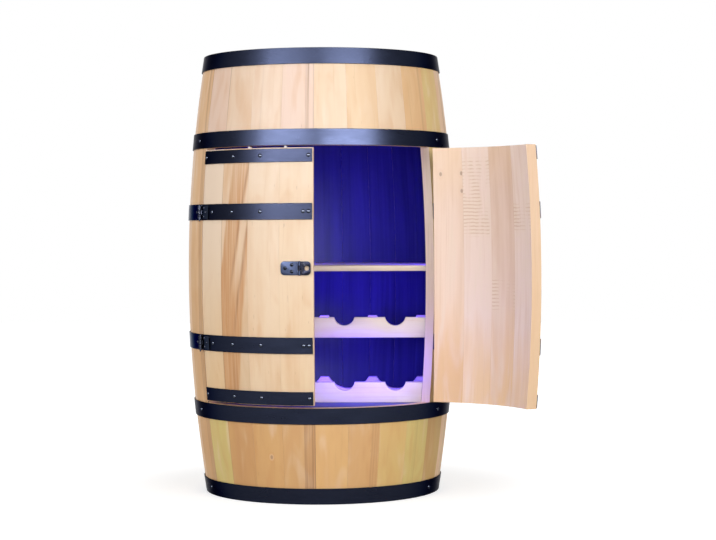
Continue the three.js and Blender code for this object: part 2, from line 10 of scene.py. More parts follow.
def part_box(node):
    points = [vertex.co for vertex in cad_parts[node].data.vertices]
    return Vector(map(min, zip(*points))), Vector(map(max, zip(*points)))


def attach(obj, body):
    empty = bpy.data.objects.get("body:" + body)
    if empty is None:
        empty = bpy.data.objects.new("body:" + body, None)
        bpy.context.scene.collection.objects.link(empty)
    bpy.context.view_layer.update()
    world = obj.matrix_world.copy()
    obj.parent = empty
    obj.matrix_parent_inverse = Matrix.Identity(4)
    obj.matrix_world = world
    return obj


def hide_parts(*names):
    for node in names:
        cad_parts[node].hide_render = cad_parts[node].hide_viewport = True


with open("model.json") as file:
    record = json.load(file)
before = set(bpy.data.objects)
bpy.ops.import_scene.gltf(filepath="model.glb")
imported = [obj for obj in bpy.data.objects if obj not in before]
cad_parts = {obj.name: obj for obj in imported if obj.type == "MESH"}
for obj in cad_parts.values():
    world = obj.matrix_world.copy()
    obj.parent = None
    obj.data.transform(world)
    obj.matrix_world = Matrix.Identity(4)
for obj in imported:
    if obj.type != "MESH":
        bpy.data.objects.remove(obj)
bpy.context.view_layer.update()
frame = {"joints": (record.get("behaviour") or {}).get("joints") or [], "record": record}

# A wooden barrel cabinet with two hinged doors. Metres, +Z up, the front faces -Y.
# A flat place is (across, depth, height): across runs round the skin from the front middle
# towards +X, depth goes inwards from the skin, and the coopering rule bends it round the barrel.


def heights(node_name):
    """Where a CAD node begins and ends above the floor."""
    return [corner.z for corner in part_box(node_name)]


def turn_by(angle, axis="Z"):
    return Matrix.Rotation(angle, 4, axis)


def shift_by(x, y, z):
    return Matrix.Translation((x, y, z))


SIDES = ((-1, "left"), (1, "right"))

# Barrel
BARREL_HEIGHT = heights("top_hoop")[1]
HALF_HEIGHT = BARREL_HEIGHT / 2
BULGE_RADIUS = 0.247
END_RADIUS = 0.2142
BACK = math.pi * BULGE_RADIUS
STAVE_THICKNESS = 0.018
STAVE_COUNT = 25
STAVE_ANGLE = 2 * math.pi / STAVE_COUNT
STAVE_WIDTH = STAVE_ANGLE * BULGE_RADIUS
DOOR_STAVES = 4
FULL_PAIRS = (STAVE_COUNT - 2 * DOOR_STAVES - 1) // 4
DOORWAY_EDGE = DOOR_STAVES * STAVE_WIDTH
DOORWAY_BOTTOM = heights("lower_quarter_hoop")[1]
DOORWAY_TOP = heights("upper_quarter_hoop")[0]
GAP = 0.0003
JOINT_GAP = 0.00003
EASE = 0.0003
SLAB_EASE = 0.0008
CHIME_BEVEL = 0.007
CROZE_DEPTH = 0.005
CROZE_BOTTOM = heights("top_head")[0] - GAP
CROZE_TOP = heights("top_head")[1] + GAP
ROW_STEP = 0.025
COLUMN_STEP = 0.0078

# Doors
DOOR_BOTTOM, DOOR_TOP = heights("left_door_panel")
DOOR_HINGE_GAP = 0.0016
DOOR_SEAM_GAP = 0.001
NIB_WIDTH = 0.0042
NIB_HEIGHT = 0.0034
NIB_DEPTH = 0.006
NIB_SETBACK = 0.0045
NIB_PLACES = [-0.0530, -0.1268]

# Steel
HOOP_THICKNESS = 0.002
STEEL_EASE = 0.0004
STRAP_BACK = GAP / 2
STRAP_FRONT = GAP + HOOP_THICKNESS
STRAP_END_GAP = 0.0018
SHORT_STRAP_HINGE_GAP = 0.002
SHORT_RIVET_SHARES = [0.034, 0.4, 0.645, 0.965]
HINGE_RIVET_SHARES = [0.033, 0.071, 0.39, 0.637, 0.85]
LAP_HALF = 0.021
LAP_RUN = 0.05
LAP_REACH = 2 * LAP_HALF + LAP_RUN
RIVET_RADIUS = 0.0036
RIVET_RISE = 0.002

# Hinges
LEAF_THICKNESS = 0.0016
LEAF_WIDTH = 0.0265
LEAF_HEIGHT = 0.025
LEAF_CORNER = 0.0025
LEAF_BACK = HOOP_THICKNESS + 2 * GAP
LEAF_FRONT = LEAF_BACK + LEAF_THICKNESS
LEAF_SCREW_RADIUS = 0.0026
LEAF_SCREW_RISE = 0.0011
NEAR_SCREW = 0.0105
FAR_SCREW = 0.018
SCREW_SPREAD = 0.0154
KNUCKLE_RADIUS = 0.0032
KNUCKLE_BORE = 0.0017
KNUCKLE_GAP = 0.0004
KNUCKLE_LENGTH = (LEAF_HEIGHT - 2 * KNUCKLE_GAP) / 3
PIN_RADIUS = 0.0015
PIN_CHAMFER = 0.0005
PIN_HEAD_RISES = (0.0004, 0.001, 0.0013)
LEAF_CLEARANCE = 0.0005

# Light strips
STRIP_ANGLE = math.radians(67)
STRIP_HALF = 0.005
STRIP_DEPTH = 0.004

JOINTS = {joint["name"]: joint for joint in frame["joints"]}
LEFT_HINGE, RIGHT_HINGE, FLAP_HINGE = (
    Vector(JOINTS[name]["pos_m"]) for name in ("left_door_hinge", "right_door_hinge", "latch_flap_hinge"))
REST_SWING = math.radians(-JOINTS["right_door_hinge"]["range_deg"][0])
SWING = Matrix.Translation(RIGHT_HINGE) @ turn_by(REST_SWING) @ Matrix.Translation(-RIGHT_HINGE)
BODY_OF = {node: body for body, nodes in frame["record"]["behaviour"]["bodies"].items() for node in nodes}
random.seed(7)


def wood_radius(z):
    share = z / HALF_HEIGHT - 1
    return BULGE_RADIUS - (BULGE_RADIUS - END_RADIUS) * share * share


def inner_radius(z):
    return wood_radius(z) - STAVE_THICKNESS


def levels(low, high, steps):
    """Even places from one value to another, both included."""
    return [low + (high - low) * step / steps for step in range(steps + 1)]


def arc(x, y, radius, start, sweep, steps):
    """Points along an arc, both ends included."""
    angles = levels(start, start + sweep, steps)
    return [(x + radius * math.cos(angle), y + radius * math.sin(angle)) for angle in angles]


def put(name, data):
    """An object for a mesh, curve, lamp or camera, linked to the scene."""
    made = bpy.data.objects.new(name, data)
    bpy.context.scene.collection.objects.link(made)
    return made


# Camera, at the photograph's viewing angle

CAMERA_PLACE = (0.1889, -3.4277, 0.4832)
CAMERA_TURN = math.radians(2.029)
CAMERA_DIP = math.radians(1.283)
CAMERA_ROLL = math.radians(-0.258)
CAMERA_LENS = 92.57
SENSOR = 36


def add_camera():
    data = bpy.data.cameras.new("camera")
    data.lens = CAMERA_LENS
    data.sensor_width = SENSOR
    camera = put("camera", data)
    camera.matrix_world = (shift_by(*CAMERA_PLACE) @ turn_by(CAMERA_TURN)
                           @ turn_by(math.pi / 2 - CAMERA_DIP, "X") @ turn_by(CAMERA_ROLL))
    bpy.context.scene.camera = camera


# Node trees: one call adds a node, sets its properties and plugs or sets its inputs


class Wire:
    """A value in a node tree; plain arithmetic on it adds maths nodes to the tree."""

    def __init__(self, socket):
        self.socket = socket
        self.tree = socket.id_data

    def __add__(self, other):
        return maths("ADD", self, other)

    def __radd__(self, other):
        return maths("ADD", other, self)

    def __sub__(self, other):
        return maths("SUBTRACT", self, other)

    def __rsub__(self, other):
        return maths("SUBTRACT", other, self)

    def __mul__(self, other):
        return maths("MULTIPLY", self, other)

    def __truediv__(self, other):
        return maths("DIVIDE", self, other)


def node(tree, kind, inputs=None, **settings):
    made = tree.nodes.new(kind)
    for key, value in settings.items():
        setattr(made, key, value)
    for key, value in (inputs or {}).items():
        if isinstance(value, Wire):
            tree.links.new(value.socket, made.inputs[key])
        else:
            made.inputs[key].default_value = value
    return made


def wire(tree, kind, inputs=None, output=0, **settings):
    """One output of a new node."""
    return Wire(node(tree, kind, inputs, **settings).outputs[output])


def wires(tree, kind, inputs=None, **settings):
    """All outputs of a new node, by name."""
    return {socket.name: Wire(socket) for socket in node(tree, kind, inputs, **settings).outputs}


def tree_of(values):
    return next(value.tree for value in values if isinstance(value, Wire))


def maths(operation, *values):
    return wire(tree_of(values), "ShaderNodeMath", dict(enumerate(values)), operation=operation)


def point(*parts):
    return wire(tree_of(parts), "ShaderNodeCombineXYZ", dict(enumerate(parts)))


def parts_of(vector):
    return list(wires(vector.tree, "ShaderNodeSeparateXYZ", {0: vector}).values())


# Geometry node trees: the coopering rule, and studs on a wrapped strap

BARREL_INPUTS = [
    ("Geometry", "Geometry", None),
    ("Bulge radius", "Float", BULGE_RADIUS),
    ("End radius", "Float", END_RADIUS),
    ("Barrel height", "Float", BARREL_HEIGHT),
]
STUD_INPUTS = [
    ("Head", "Object", None),
    ("Head radius", "Float", RIVET_RADIUS),
    ("Head rise", "Float", RIVET_RISE),
    ("Turn seed", "Int", 3),
    ("Steel", "Material", None),
]


def new_tree(name, inputs):
    """A geometry node tree and what its group input gives."""
    tree = bpy.data.node_groups.new(name, "GeometryNodeTree")
    tree.interface.new_socket("Geometry", in_out="OUTPUT", socket_type="NodeSocketGeometry")
    for label, kind, default in inputs:
        socket = tree.interface.new_socket(label, in_out="INPUT", socket_type="NodeSocket" + kind)
        if default is not None:
            socket.default_value = default
    return tree, wires(tree, "NodeGroupInput")


def skin_point(tree, given):
    """The place and the outward direction of a flat point once it is bent round the barrel."""
    across, depth, height = parts_of(wire(tree, "GeometryNodeInputPosition"))
    half = given["Barrel height"] / 2
    share = height / half - 1
    drop = given["Bulge radius"] - given["End radius"]
    reach = given["Bulge radius"] - drop * (share * share) - depth
    angle = across / given["Bulge radius"]
    sine = maths("SINE", angle)
    back = maths("COSINE", angle) * -1
    return point(sine * reach, back * reach, height), point(sine, back, drop * share * 2 / half)


def coopering_tree():
    tree, given = new_tree("coopering", BARREL_INPUTS)
    place, _ = skin_point(tree, given)
    bent = wire(tree, "GeometryNodeSetPosition", {"Geometry": given["Geometry"], "Position": place})
    node(tree, "NodeGroupOutput", {0: bent})
    return tree


def studding_tree():
    tree, given = new_tree("studding", BARREL_INPUTS + STUD_INPUTS)
    place, outward = skin_point(tree, given)
    marked = wire(tree, "GeometryNodeStoreNamedAttribute", {
        "Geometry": given["Geometry"], "Name": "outward", "Value": outward}, data_type="FLOAT_VECTOR")
    bent = wire(tree, "GeometryNodeSetPosition", {"Geometry": marked, "Position": place})
    stud = wire(tree, "GeometryNodeInputNamedAttribute", {"Name": "stud"}, data_type="FLOAT")
    split = wires(tree, "GeometryNodeSeparateGeometry", {
        "Geometry": bent, "Selection": maths("GREATER_THAN", stud, 0.5)}, domain="POINT")
    way = wire(tree, "GeometryNodeInputNamedAttribute", {"Name": "outward"}, data_type="FLOAT_VECTOR")
    placed = wire(tree, "GeometryNodeInstanceOnPoints", {
        "Points": split["Selection"],
        "Instance": wire(tree, "GeometryNodeObjectInfo", {"Object": given["Head"]}, "Geometry"),
        "Rotation": wire(tree, "FunctionNodeAlignRotationToVector", {"Vector": way}, axis="Z"),
        "Scale": point(given["Head radius"], given["Head radius"], given["Head rise"])})
    chance = wire(tree, "FunctionNodeRandomValue", {"Seed": given["Turn seed"], 3: math.pi}, 1,
                  data_type="FLOAT")
    turned = wire(tree, "GeometryNodeRotateInstances", {
        "Instances": placed, "Rotation": point(0, 0, chance), "Local Space": True})
    real = wire(tree, "GeometryNodeRealizeInstances", {"Geometry": turned})
    painted = wire(tree, "GeometryNodeSetMaterial", {"Geometry": real, "Material": given["Steel"]})
    both = node(tree, "GeometryNodeJoinGeometry")
    for part in (split["Inverted"], painted):
        tree.links.new(part.socket, both.inputs[0])
    node(tree, "NodeGroupOutput", {0: Wire(both.outputs[0])})
    return tree


def grown_mesh(mesh, tree, **values):
    """The mesh after a geometry node tree, as plain mesh data."""
    blank = put("blank", mesh)
    modifier = blank.modifiers.new("shape", "NODES")
    modifier.node_group = tree
    for item in tree.interface.items_tree:
        label = item.name.replace(" ", "_").lower()
        if item.in_out == "INPUT" and label in values:
            modifier[item.identifier] = values[label]
    return settled(blank)


def settled(blank):
    """The evaluated mesh of a temporary object, which is then removed."""
    bpy.context.view_layer.update()
    graph = bpy.context.evaluated_depsgraph_get()
    made = bpy.data.meshes.new_from_object(
        blank.evaluated_get(graph), preserve_all_data_layers=True, depsgraph=graph)
    bpy.data.objects.remove(blank)
    return made


# Materials

PALE = (0.83, 0.63, 0.45)
BLUSH = (0.80, 0.575, 0.465)
CLOUD = (0.87, 0.69, 0.54)
HONEY = (0.70, 0.39, 0.18)
GOLD = (0.80, 0.50, 0.215)
OLIVE = (0.73, 0.60, 0.245)
AMBER = (0.66, 0.335, 0.125)
HEARTWOOD = (0.60, 0.30, 0.125)
STREAK_BROWN = (0.31, 0.135, 0.065)
GRAIN_BROWN = (0.56, 0.32, 0.155)
FLECK_BROWN = (0.30, 0.15, 0.08)
JOINT_BROWN = (0.34, 0.18, 0.09)
# How much darker a board turns towards the foot, by its depth
FOOT_DARKENING = (0.76, 0.70, 0.62)
# Painted warm bounce light, multiplied in towards the foot
PAINTED_BOUNCE_TINT = (1.0, 0.965, 0.86)
ROSE = (0.90, 0.68, 0.57)
LILAC = (0.91, 0.72, 0.61)
INSIDE_BROWN = (0.70, 0.45, 0.29)
INSIDE_GOLD = (0.87, 0.57, 0.28)
RACK_PALE = (0.79, 0.66, 0.515)
SAWN_TAN = (0.74, 0.50, 0.29)
# Painted shade inside the barrel, tinted with painted blue light from the strips: first the inner wall, then
# the floor
WALL_PAINTED_SHADE_DARK = (0.009, 0.009, 0.034)
WALL_PAINTED_SHADE_PALE = (0.026, 0.025, 0.088)
FLOOR_PAINTED_SHADE_DARK = (0.050, 0.056, 0.150)
FLOOR_PAINTED_SHADE_PALE = (0.110, 0.125, 0.310)
BARE_STEEL = (0.60, 0.62, 0.70)
RIPPLE_PITCH = 0.0063
RIPPLE_FADE = 0.012
LIGHT_POINT_PITCH = 1 / 60


def mixed(factor, first, second, blend="MIX"):
    """One colour turned towards another by a share from 0 to 1."""
    first, second = (colour if isinstance(colour, Wire) else (*colour, 1) for colour in (first, second))
    return wire(factor.tree, "ShaderNodeMix", {0: factor, 6: first, 7: second}, 2,
                data_type="RGBA", blend_type=blend)


def layered(colour, *layers):
    """Lays one tint after another over a colour, each by its own share."""
    for share, tint in layers:
        colour = mixed(share, colour, tint)
    return colour


def ramp(value, low, high, out_low=0.0, out_high=1.0):
    return wire(value.tree, "ShaderNodeMapRange", {0: value, 1: low, 2: high, 3: out_low, 4: out_high},
                interpolation_type="SMOOTHSTEP")


def noise(x, y, z, detail=2.0, rough=0.5, distortion=0.0):
    vector = point(x, y, z)
    return wire(vector.tree, "ShaderNodeTexNoise", {
        "Vector": vector, "Scale": 1.0, "Detail": detail, "Roughness": rough, "Distortion": distortion})


def centred(value, factor):
    return (value - 0.5) * factor


def new_material(name):
    material = bpy.data.materials.new(name)
    material.use_nodes = True
    material.node_tree.nodes.clear()
    return material, material.node_tree


def shaded(material, sockets, height=None, strength=0.2, distance=0.0004):
    """Ends a material: its shader with these inputs, and a bump where a height is given."""
    tree = material.node_tree
    if height is not None:
        sockets["Normal"] = wire(tree, "ShaderNodeBump", {
            "Strength": strength, "Distance": distance, "Height": height})
    shader = wire(tree, "ShaderNodeBsdfPrincipled", sockets)
    node(tree, "ShaderNodeOutputMaterial", {0: shader})
    return material


def wooden(material, colour, roughness, specular, height, strength):
    return shaded(material, {"Base Color": colour, "Roughness": roughness, "Specular IOR Level": specular},
                  height, strength)


def object_place(tree):
    return parts_of(wire(tree, "ShaderNodeTexCoord", output="Object"))


def fine_speck(tree, fineness, *look):
    """Even fine noise through the whole piece."""
    return noise(*(part * fineness for part in object_place(tree)), *look)


def board_map(tree):
    """How far across and along its own board a point lies."""
    return parts_of(wire(tree, "ShaderNodeUVMap", uv_map="board_map"))[:2]


def attribute_parts(tree, name):
    return parts_of(wire(tree, "ShaderNodeAttribute", output="Vector", attribute_name=name))


def board_grain(across, along, third, seed):
    """Clouds of tone, soft stripes, fine grain lines and pores along a board."""

    def grain(fine, long, bend, *look):
        return noise(across * fine + seed * 13.7 + bend, along * long, third * fine + seed, *look)

    clouds = grain(20, 5.0, 0.0, 3, 0.55, 0.6)
    bend = centred(grain(9, 2.2, 0.0, 2), 5.0)
    stripes = grain(75, 1.3, bend, 3, 0.5)
    lines = grain(320, 5.0, bend * 3.0, 4, 0.65)
    pores = grain(1300, 60, 0.0, 2, 0.6)
    return clouds, stripes, lines, pores


def spot(across, along, x, z, width, height):
    """1 in the middle of a small round mark on a board, falling to 0 at its rim."""
    sides = (across - x) * (1 / width)
    rises = (along - z) * (1 / height)
    return ramp(sides * sides + rises * rises, 0.25, 1.0, 1.0, 0.0)


def between(value, low, high, soft):
    """1 between two limits, falling softly to 0 outside them."""
    return ramp(value, low - soft, low + soft) * ramp(value, high - soft, high + soft, 1.0, 0.0)


def heart_fan(across, along, wavy):
    """A fan of heartwood that narrows downwards: how brown it is, and its darker streaks."""
    slanted = wavy - (along - 0.44) * 0.17
    body = ramp(along * 0.104 - 0.0128 - wavy, -0.001, 0.0042)
    pale = between(slanted, 0.0065, 0.0215, 0.004) * ramp(along, 0.33, 0.45, 0.0, 0.85)
    leaning_side = ramp(wavy + 0.0898 - along * 0.14, -0.002, 0.004, 0.12, 1.0)
    first = between(slanted, 0.0015, 0.0045, 0.003) * ramp(along, 0.34, 0.43)
    second = between(slanted, 0.0215, 0.0255, 0.003) * ramp(along, 0.27, 0.35)
    foot = between(across, -0.008, 0.004, 0.006) * ramp(along, 0.28, 0.22, 0, 0.5)
    return body * (1.0 - pale) * leaning_side, maths("MAXIMUM", foot, maths("MAXIMUM", first, second))


# Places of small knots (across, height), shown on the boards that are marked as knotty
KNOTS = [(0.0226, 0.579), (-0.0456, 0.580), (-0.0456, 0.549), (0.0062, 0.083)]


def knots(across, along, knotty, stretch=1.0):
    """Layers for small knots, each with an amber halo, a pale ring and a brown core."""
    rings = [(0.0090, 0.0125, 0.28 / stretch ** 2, AMBER), (0.0060, 0.0076, 0.30 / stretch ** 2, CLOUD),
             (0.0034, 0.0046, 0.55, FLECK_BROWN)]
    return [(spot(across, along, x, z, width * stretch, height) * knotty * strength, tint)
            for x, z in KNOTS for width, height, strength, tint in rings]


def outer_stave_wood():
    """Clear varnished hardwood: cream, rose and gold boards, clouded, with brown heart streaks."""
    material, tree = new_material("varnished_stave_wood")
    across, along = board_map(tree)
    seed, tone, warm = attribute_parts(tree, "board")
    heart_left, heart_right, heart = attribute_parts(tree, "heart")
    fan, joint, depth = attribute_parts(tree, "figure")
    knotty = attribute_parts(tree, "ripple")[2]
    clouds, stripes, lines, pores = board_grain(across, along, 0.0, seed)
    blotch = noise(across * 30 + seed, along * 9, seed, 2, 0.45, 0.7)
    colour = layered(
        PALE,
        (ramp(warm, -1.0, 0.0, 1.0, 0.0), BLUSH),
        (ramp(warm, 0.0, 0.6), GOLD),
        (ramp(warm, 0.6, 1.0), OLIVE),
        (tone + centred(clouds, 1.1) + centred(stripes, 0.45), HONEY),
        (ramp(blotch, 0.50, 0.74, 0, 0.30), AMBER),
        (ramp(blotch, 0.48, 0.24, 0, 0.42), CLOUD),
        (ramp(lines, 0.55, 0.80, 0, 0.30), GRAIN_BROWN),
        (depth * ramp(along, 0.20, 0.50, 0.0, -1.0), CLOUD))
    # A board's depth darkens it towards the foot; a depth below 0 pales it there instead, in the last layer
    # above
    colour = mixed(depth * ramp(along, 0.58, 0.24), colour, FOOT_DARKENING, "MULTIPLY")
    wavy = across + centred(clouds, 0.010)
    strands = noise(wavy * 260, along * 3.0, seed, 4, 0.6)
    brown, dark = heart_fan(across, along, wavy)
    brown = brown * (fan * ramp(along, 0.61, 0.53, 0.7, 1.0)) * ramp(strands, 0.30, 0.60, 0.45, 0.95)
    dark = dark * fan * ramp(strands, 0.32, 0.62, 0.15, 0.62)
    streak = ramp(wavy - heart_left, -0.001, 0.0025) * ramp(heart_right - wavy, -0.001, 0.0025)
    streak = streak * heart * ramp(strands, 0.38, 0.62, 0.25, 0.9)
    flecks = noise(across * 420, along * 46, seed, 1)
    half = STAVE_WIDTH / 2
    edge = ramp(maths("ABSOLUTE", across), half - 0.0012, half - EASE, 0, 0.10)
    strong = ramp(across * joint, half - 0.0026, half - 0.0006, 0, 0.7)
    colour = layered(
        colour,
        (brown, HEARTWOOD),
        (maths("MAXIMUM", dark, streak), STREAK_BROWN),
        (ramp(flecks, 0.76, 0.82, 0, 0.32), FLECK_BROWN),
        *knots(across, along, knotty),
        ((edge + strong) * ramp(stripes, 0.35, 0.6, 0.4, 1.0), JOINT_BROWN))
    # Painted warm bounce light: every board turns yellower towards the foot
    colour = mixed(ramp(along, 0.70, 0.10), colour, PAINTED_BOUNCE_TINT, "MULTIPLY")
    return wooden(material, colour, ramp(lines, 0.3, 0.7, 0.50, 0.62), 0.25, pores * 0.5 + lines, 0.12)


def inner_stave_wood():
    """Planed bare hardwood with cross ripples left by the planer, bumped and with painted highlight and
    shade, and a few pin knots.
    """
    material, tree = new_material("planed_stave_wood")
    across, along = board_map(tree)
    seed, tone, warm = attribute_parts(tree, "board")
    ripple_low, ripple_high, knotty = attribute_parts(tree, "ripple")
    clouds, stripes, lines, pores = board_grain(across, along, 0.0, seed)
    golden = ramp(along, 0.41, 0.20) + ramp(along, 0.50, 0.62, 0.0, 0.3)
    golden = golden * ramp(clouds, 0.3, 0.6, 0.5, 1.0) + warm * 0.5
    drift = centred(noise(across * 40, along * 25, seed, 2), 4.0)
    wave = ramp(maths("SINE", along * (2 * math.pi / RIPPLE_PITCH) + drift), 0.1, 1.0)
    span = (ramp(along, ripple_low, ripple_low + RIPPLE_FADE)
            * ramp(along, ripple_high - RIPPLE_FADE, ripple_high, 1.0, 0.0)
            * ramp(noise(across * 34, along * 14, seed), 0.34, 0.62))
    ripple = wave * span
    side = ramp(maths("ABSOLUTE", across), STAVE_WIDTH * 0.775, STAVE_WIDTH * 0.79, 0, 0.35)
    colour = layered(
        ROSE,
        (ramp(warm, 0.0, -1.0), LILAC),
        (tone + centred(clouds, 1.0) + centred(stripes, 0.9), INSIDE_BROWN),
        (golden, INSIDE_GOLD),
        (ramp(along, 0.36, 0.20, 0.0, 0.55) * ramp(warm, 0.0, 0.3), HONEY),
        (ramp(clouds, 0.46, 0.28, 0, 0.4), CLOUD),
        (ramp(lines, 0.52, 0.8, 0, 0.26), GRAIN_BROWN),
        # Painted highlight and shade on the ripples, beside their bump: the rippled span is paled and the
        # ripples browned
        (span * 0.55, CLOUD),
        (ripple * 0.75, INSIDE_BROWN),
        (side, GRAIN_BROWN),
        *knots(across, along, knotty, 1.6))
    return wooden(material, colour, 0.66, 0.3, pores * 0.6 + lines + ripple * 0.35, 0.18)


def cut_edge_wood(name, lit_top_colour, shaded_foot_colour, tone):
    """Planed long edges, paler at the top than at the foot: painted light at the top and painted shade at the
    foot.
    """
    material, tree = new_material(name)
    x, y, z = object_place(tree)
    clouds, stripes, lines, pores = board_grain(x, z, y, 4.0)
    colour = layered(
        shaded_foot_colour,
        (ramp(z, 0.30, 0.56), lit_top_colour),
        (tone + (centred(clouds, 0.8) + centred(stripes, 0.6)), HONEY),
        (ramp(lines, 0.5, 0.8, 0, 0.35), GRAIN_BROWN))
    return wooden(material, colour, 0.64, 0.3, pores * 0.5 + lines, 0.18)


def painted_shade_wood(name, runs_up, dark, light):
    """Painted shade tinted with painted blue strip light, on the inner wall and the floor, mottled paler
    along the grain.
    """
    material, tree = new_material(name)
    if runs_up:
        across, along = board_map(tree)
        third = 0.0
    else:
        along, across, third = object_place(tree)
    seed = attribute_parts(tree, "board")[0]
    clouds, stripes, lines, pores = board_grain(across, along, third, seed)
    # The pale mottle of the painted shade along the grain
    mottle = 0.35 + (centred(clouds, 1.0) + centred(stripes, 1.0))
    colour = layered(dark, (mottle, light), (ramp(lines, 0.5, 0.8, 0, 0.4), dark))
    return wooden(material, colour, ramp(lines, 0.3, 0.7, 0.50, 0.64), 0.2, pores * 0.6 + lines, 0.2)


def end_grain_wood():
    """Sawn stave ends, darker than the faces, with the rings cut across."""
    material, tree = new_material("sawn_end_wood")
    rings = wire(tree, "ShaderNodeTexWave", {
        "Vector": point(*(part * 22 for part in object_place(tree))), "Scale": 1.0, "Distortion": 4.0,
        "Detail": 2.0}, 1)
    speck = fine_speck(tree, 900, 2)
    colour = layered(SAWN_TAN, (rings * 0.35, GRAIN_BROWN), (ramp(speck, 0.45, 0.7, 0, 0.35), JOINT_BROWN))
    return shaded(material, {"Base Color": colour, "Roughness": 0.72}, speck, 0.3)


def plank_wood(name, first, second, tone_share):
    """Planed planks whose grain runs along X."""
    material, tree = new_material(name)
    along, across, third = object_place(tree)
    seed, tone, _ = attribute_parts(tree, "board")
    clouds, stripes, lines, pores = board_grain(across, along, third, seed)
    colour = layered(
        first,
        (tone + tone_share + (centred(clouds, 0.8) + centred(stripes, 0.8)), second),
        (ramp(lines, 0.5, 0.8, 0, 0.34), GRAIN_BROWN),
        (ramp(clouds, 0.58, 0.74, 0, 0.3), AMBER))
    return wooden(material, colour, ramp(lines, 0.3, 0.7, 0.54, 0.66), 0.3, pores * 0.6 + lines, 0.2)


def black_steel(name, base, rough_low, rough_high, edge_tint, wear=0.0):
    """Satin black painted steel with faint rub marks, and bare glints where the paint is rubbed off."""
    material, tree = new_material(name)
    x, y, z = object_place(tree)
    cloud = noise(x * 16, y * 16, z * 60, 4, 0.6)
    rub = noise(x * 120, y * 120, z * 900, 3, 0.6)
    peel = fine_speck(tree, 1500, 1)
    colour = mixed(ramp(rub, 0.50, 0.8, 0, 0.6), base, [part * 1.6 for part in base])
    if wear:
        chips = fine_speck(tree, 520, 3, 0.6)
        colour = mixed(ramp(chips, 0.63, 0.70, 0.0, wear), colour, BARE_STEEL)
    return shaded(material, {
        "Base Color": colour, "Roughness": ramp(cloud, 0.3, 0.7, rough_low, rough_high),
        "Specular Tint": (*edge_tint, 1), "Metallic": 1.0}, peel, 0.08, 0.0002)


def lit_lens():
    """Milky strip lens with a row of blue violet light points behind it."""
    material, tree = new_material("lit_strip_lens")
    beat = maths("COSINE", object_place(tree)[2] * (2 * math.pi / LIGHT_POINT_PITCH))
    return shaded(material, {
        "Base Color": (0.30, 0.28, 0.62, 1), "Roughness": 0.35,
        "Emission Color": (0.13, 0.06, 1.0, 1), "Emission Strength": ramp(beat, -0.6, 1.0, 1.6, 5.0)})


def white_nylon():
    """Milky white of the small stops on top of the door; their bright white is partly painted light from the
    strips, which they catch.
    """
    material, tree = new_material("white_nylon")
    speck = fine_speck(tree, 1500, 2)
    return shaded(material, {"Base Color": mixed(speck, (0.82, 0.82, 0.86), (0.92, 0.92, 0.94)),
                             "Roughness": 0.5})


def black_plastic():
    material, tree = new_material("socket_plastic")
    speck = fine_speck(tree, 1800, 2)
    colour = mixed(ramp(speck, 0.4, 0.7, 0, 0.6), (0.014, 0.014, 0.016), (0.03, 0.03, 0.034))
    return shaded(material, {"Base Color": colour, "Roughness": 0.46}, speck, 0.15, 0.0002)


def contact_metal():
    material, tree = new_material("socket_contact_metal")
    streak = noise(0.0, 0.0, object_place(tree)[2] * 4000, 2)
    colour = mixed(streak, (0.62, 0.58, 0.50), (0.80, 0.77, 0.70))
    return shaded(material, {"Base Color": colour, "Metallic": 1.0, "Roughness": 0.28})


OUTER_WOOD = outer_stave_wood()
INNER_WOOD = inner_stave_wood()
END_WOOD = end_grain_wood()
HEAD_WOOD = plank_wood("barrel_head_wood", PALE, HONEY, 0.25)
RAIL_WOOD = plank_wood("rack_wood", RACK_PALE, INSIDE_BROWN, 0.1)
# The stave edges are pale as painted light on the doorway's post, which stands in the open door's shadow
STAVE_EDGE = cut_edge_wood("stave_edge_wood", (0.97, 0.78, 0.64), (0.86, 0.65, 0.47), 0.0)
DOOR_EDGE = cut_edge_wood("door_edge_wood", (0.775, 0.53, 0.34), (0.765, 0.515, 0.305), 0.2)
# Painted shade with painted blue strip light on the inner wall and the floor
PAINTED_SHADE_WALL = painted_shade_wood("dark_stained_staves", True, WALL_PAINTED_SHADE_DARK, WALL_PAINTED_SHADE_PALE)
PAINTED_SHADE_PLANK = painted_shade_wood("dark_stained_planks", False, FLOOR_PAINTED_SHADE_DARK, FLOOR_PAINTED_SHADE_PALE)
HOOP_STEEL = black_steel("hoop_black_steel", (0.0112, 0.0136, 0.0245), 0.27, 0.34, (0.36, 0.36, 0.38))
# A darker copy of the hoop steel: painted shade that dims the sheen on the top and upper straps
SHADED_STRAP_STEEL = black_steel("strap_black_steel", (0.0086, 0.0102, 0.0185), 0.27, 0.34, (0.36, 0.36, 0.38))
HINGE_STEEL = black_steel("hinge_black_steel", (0.017, 0.019, 0.028), 0.24, 0.36, (0.4, 0.4, 0.42), 0.35)
LATCH_STEEL = black_steel("latch_grey_steel", (0.0145, 0.0185, 0.034), 0.36, 0.44, (0.4, 0.4, 0.44))
# A darker copy of the latch steel: painted shade on the raised flap
SHADED_FLAP_STEEL = black_steel("latch_flap_steel", (0.0068, 0.0075, 0.0130), 0.26, 0.36, (0.4, 0.4, 0.44), 0.2)
RIVET_STEEL = black_steel("rivet_black_steel", (0.030, 0.034, 0.046), 0.12, 0.20, (0.3, 0.32, 0.38))
SCREW_STEEL = black_steel("screw_dark_steel", (0.012, 0.014, 0.020), 0.10, 0.16, (0.3, 0.3, 0.3))
LENS = lit_lens()
PLASTIC = black_plastic()
# The stops' bright white is partly painted light from the strips
LIT_WHITE_STOP = white_nylon()
CONTACT = contact_metal()


# Mesh making


def mesh_of(name, points, faces, materials=()):
    mesh = bpy.data.meshes.new(name)
    mesh.from_pydata([tuple(place) for place in points], [], faces)
    for material in materials:
        mesh.materials.append(material)
    return mesh


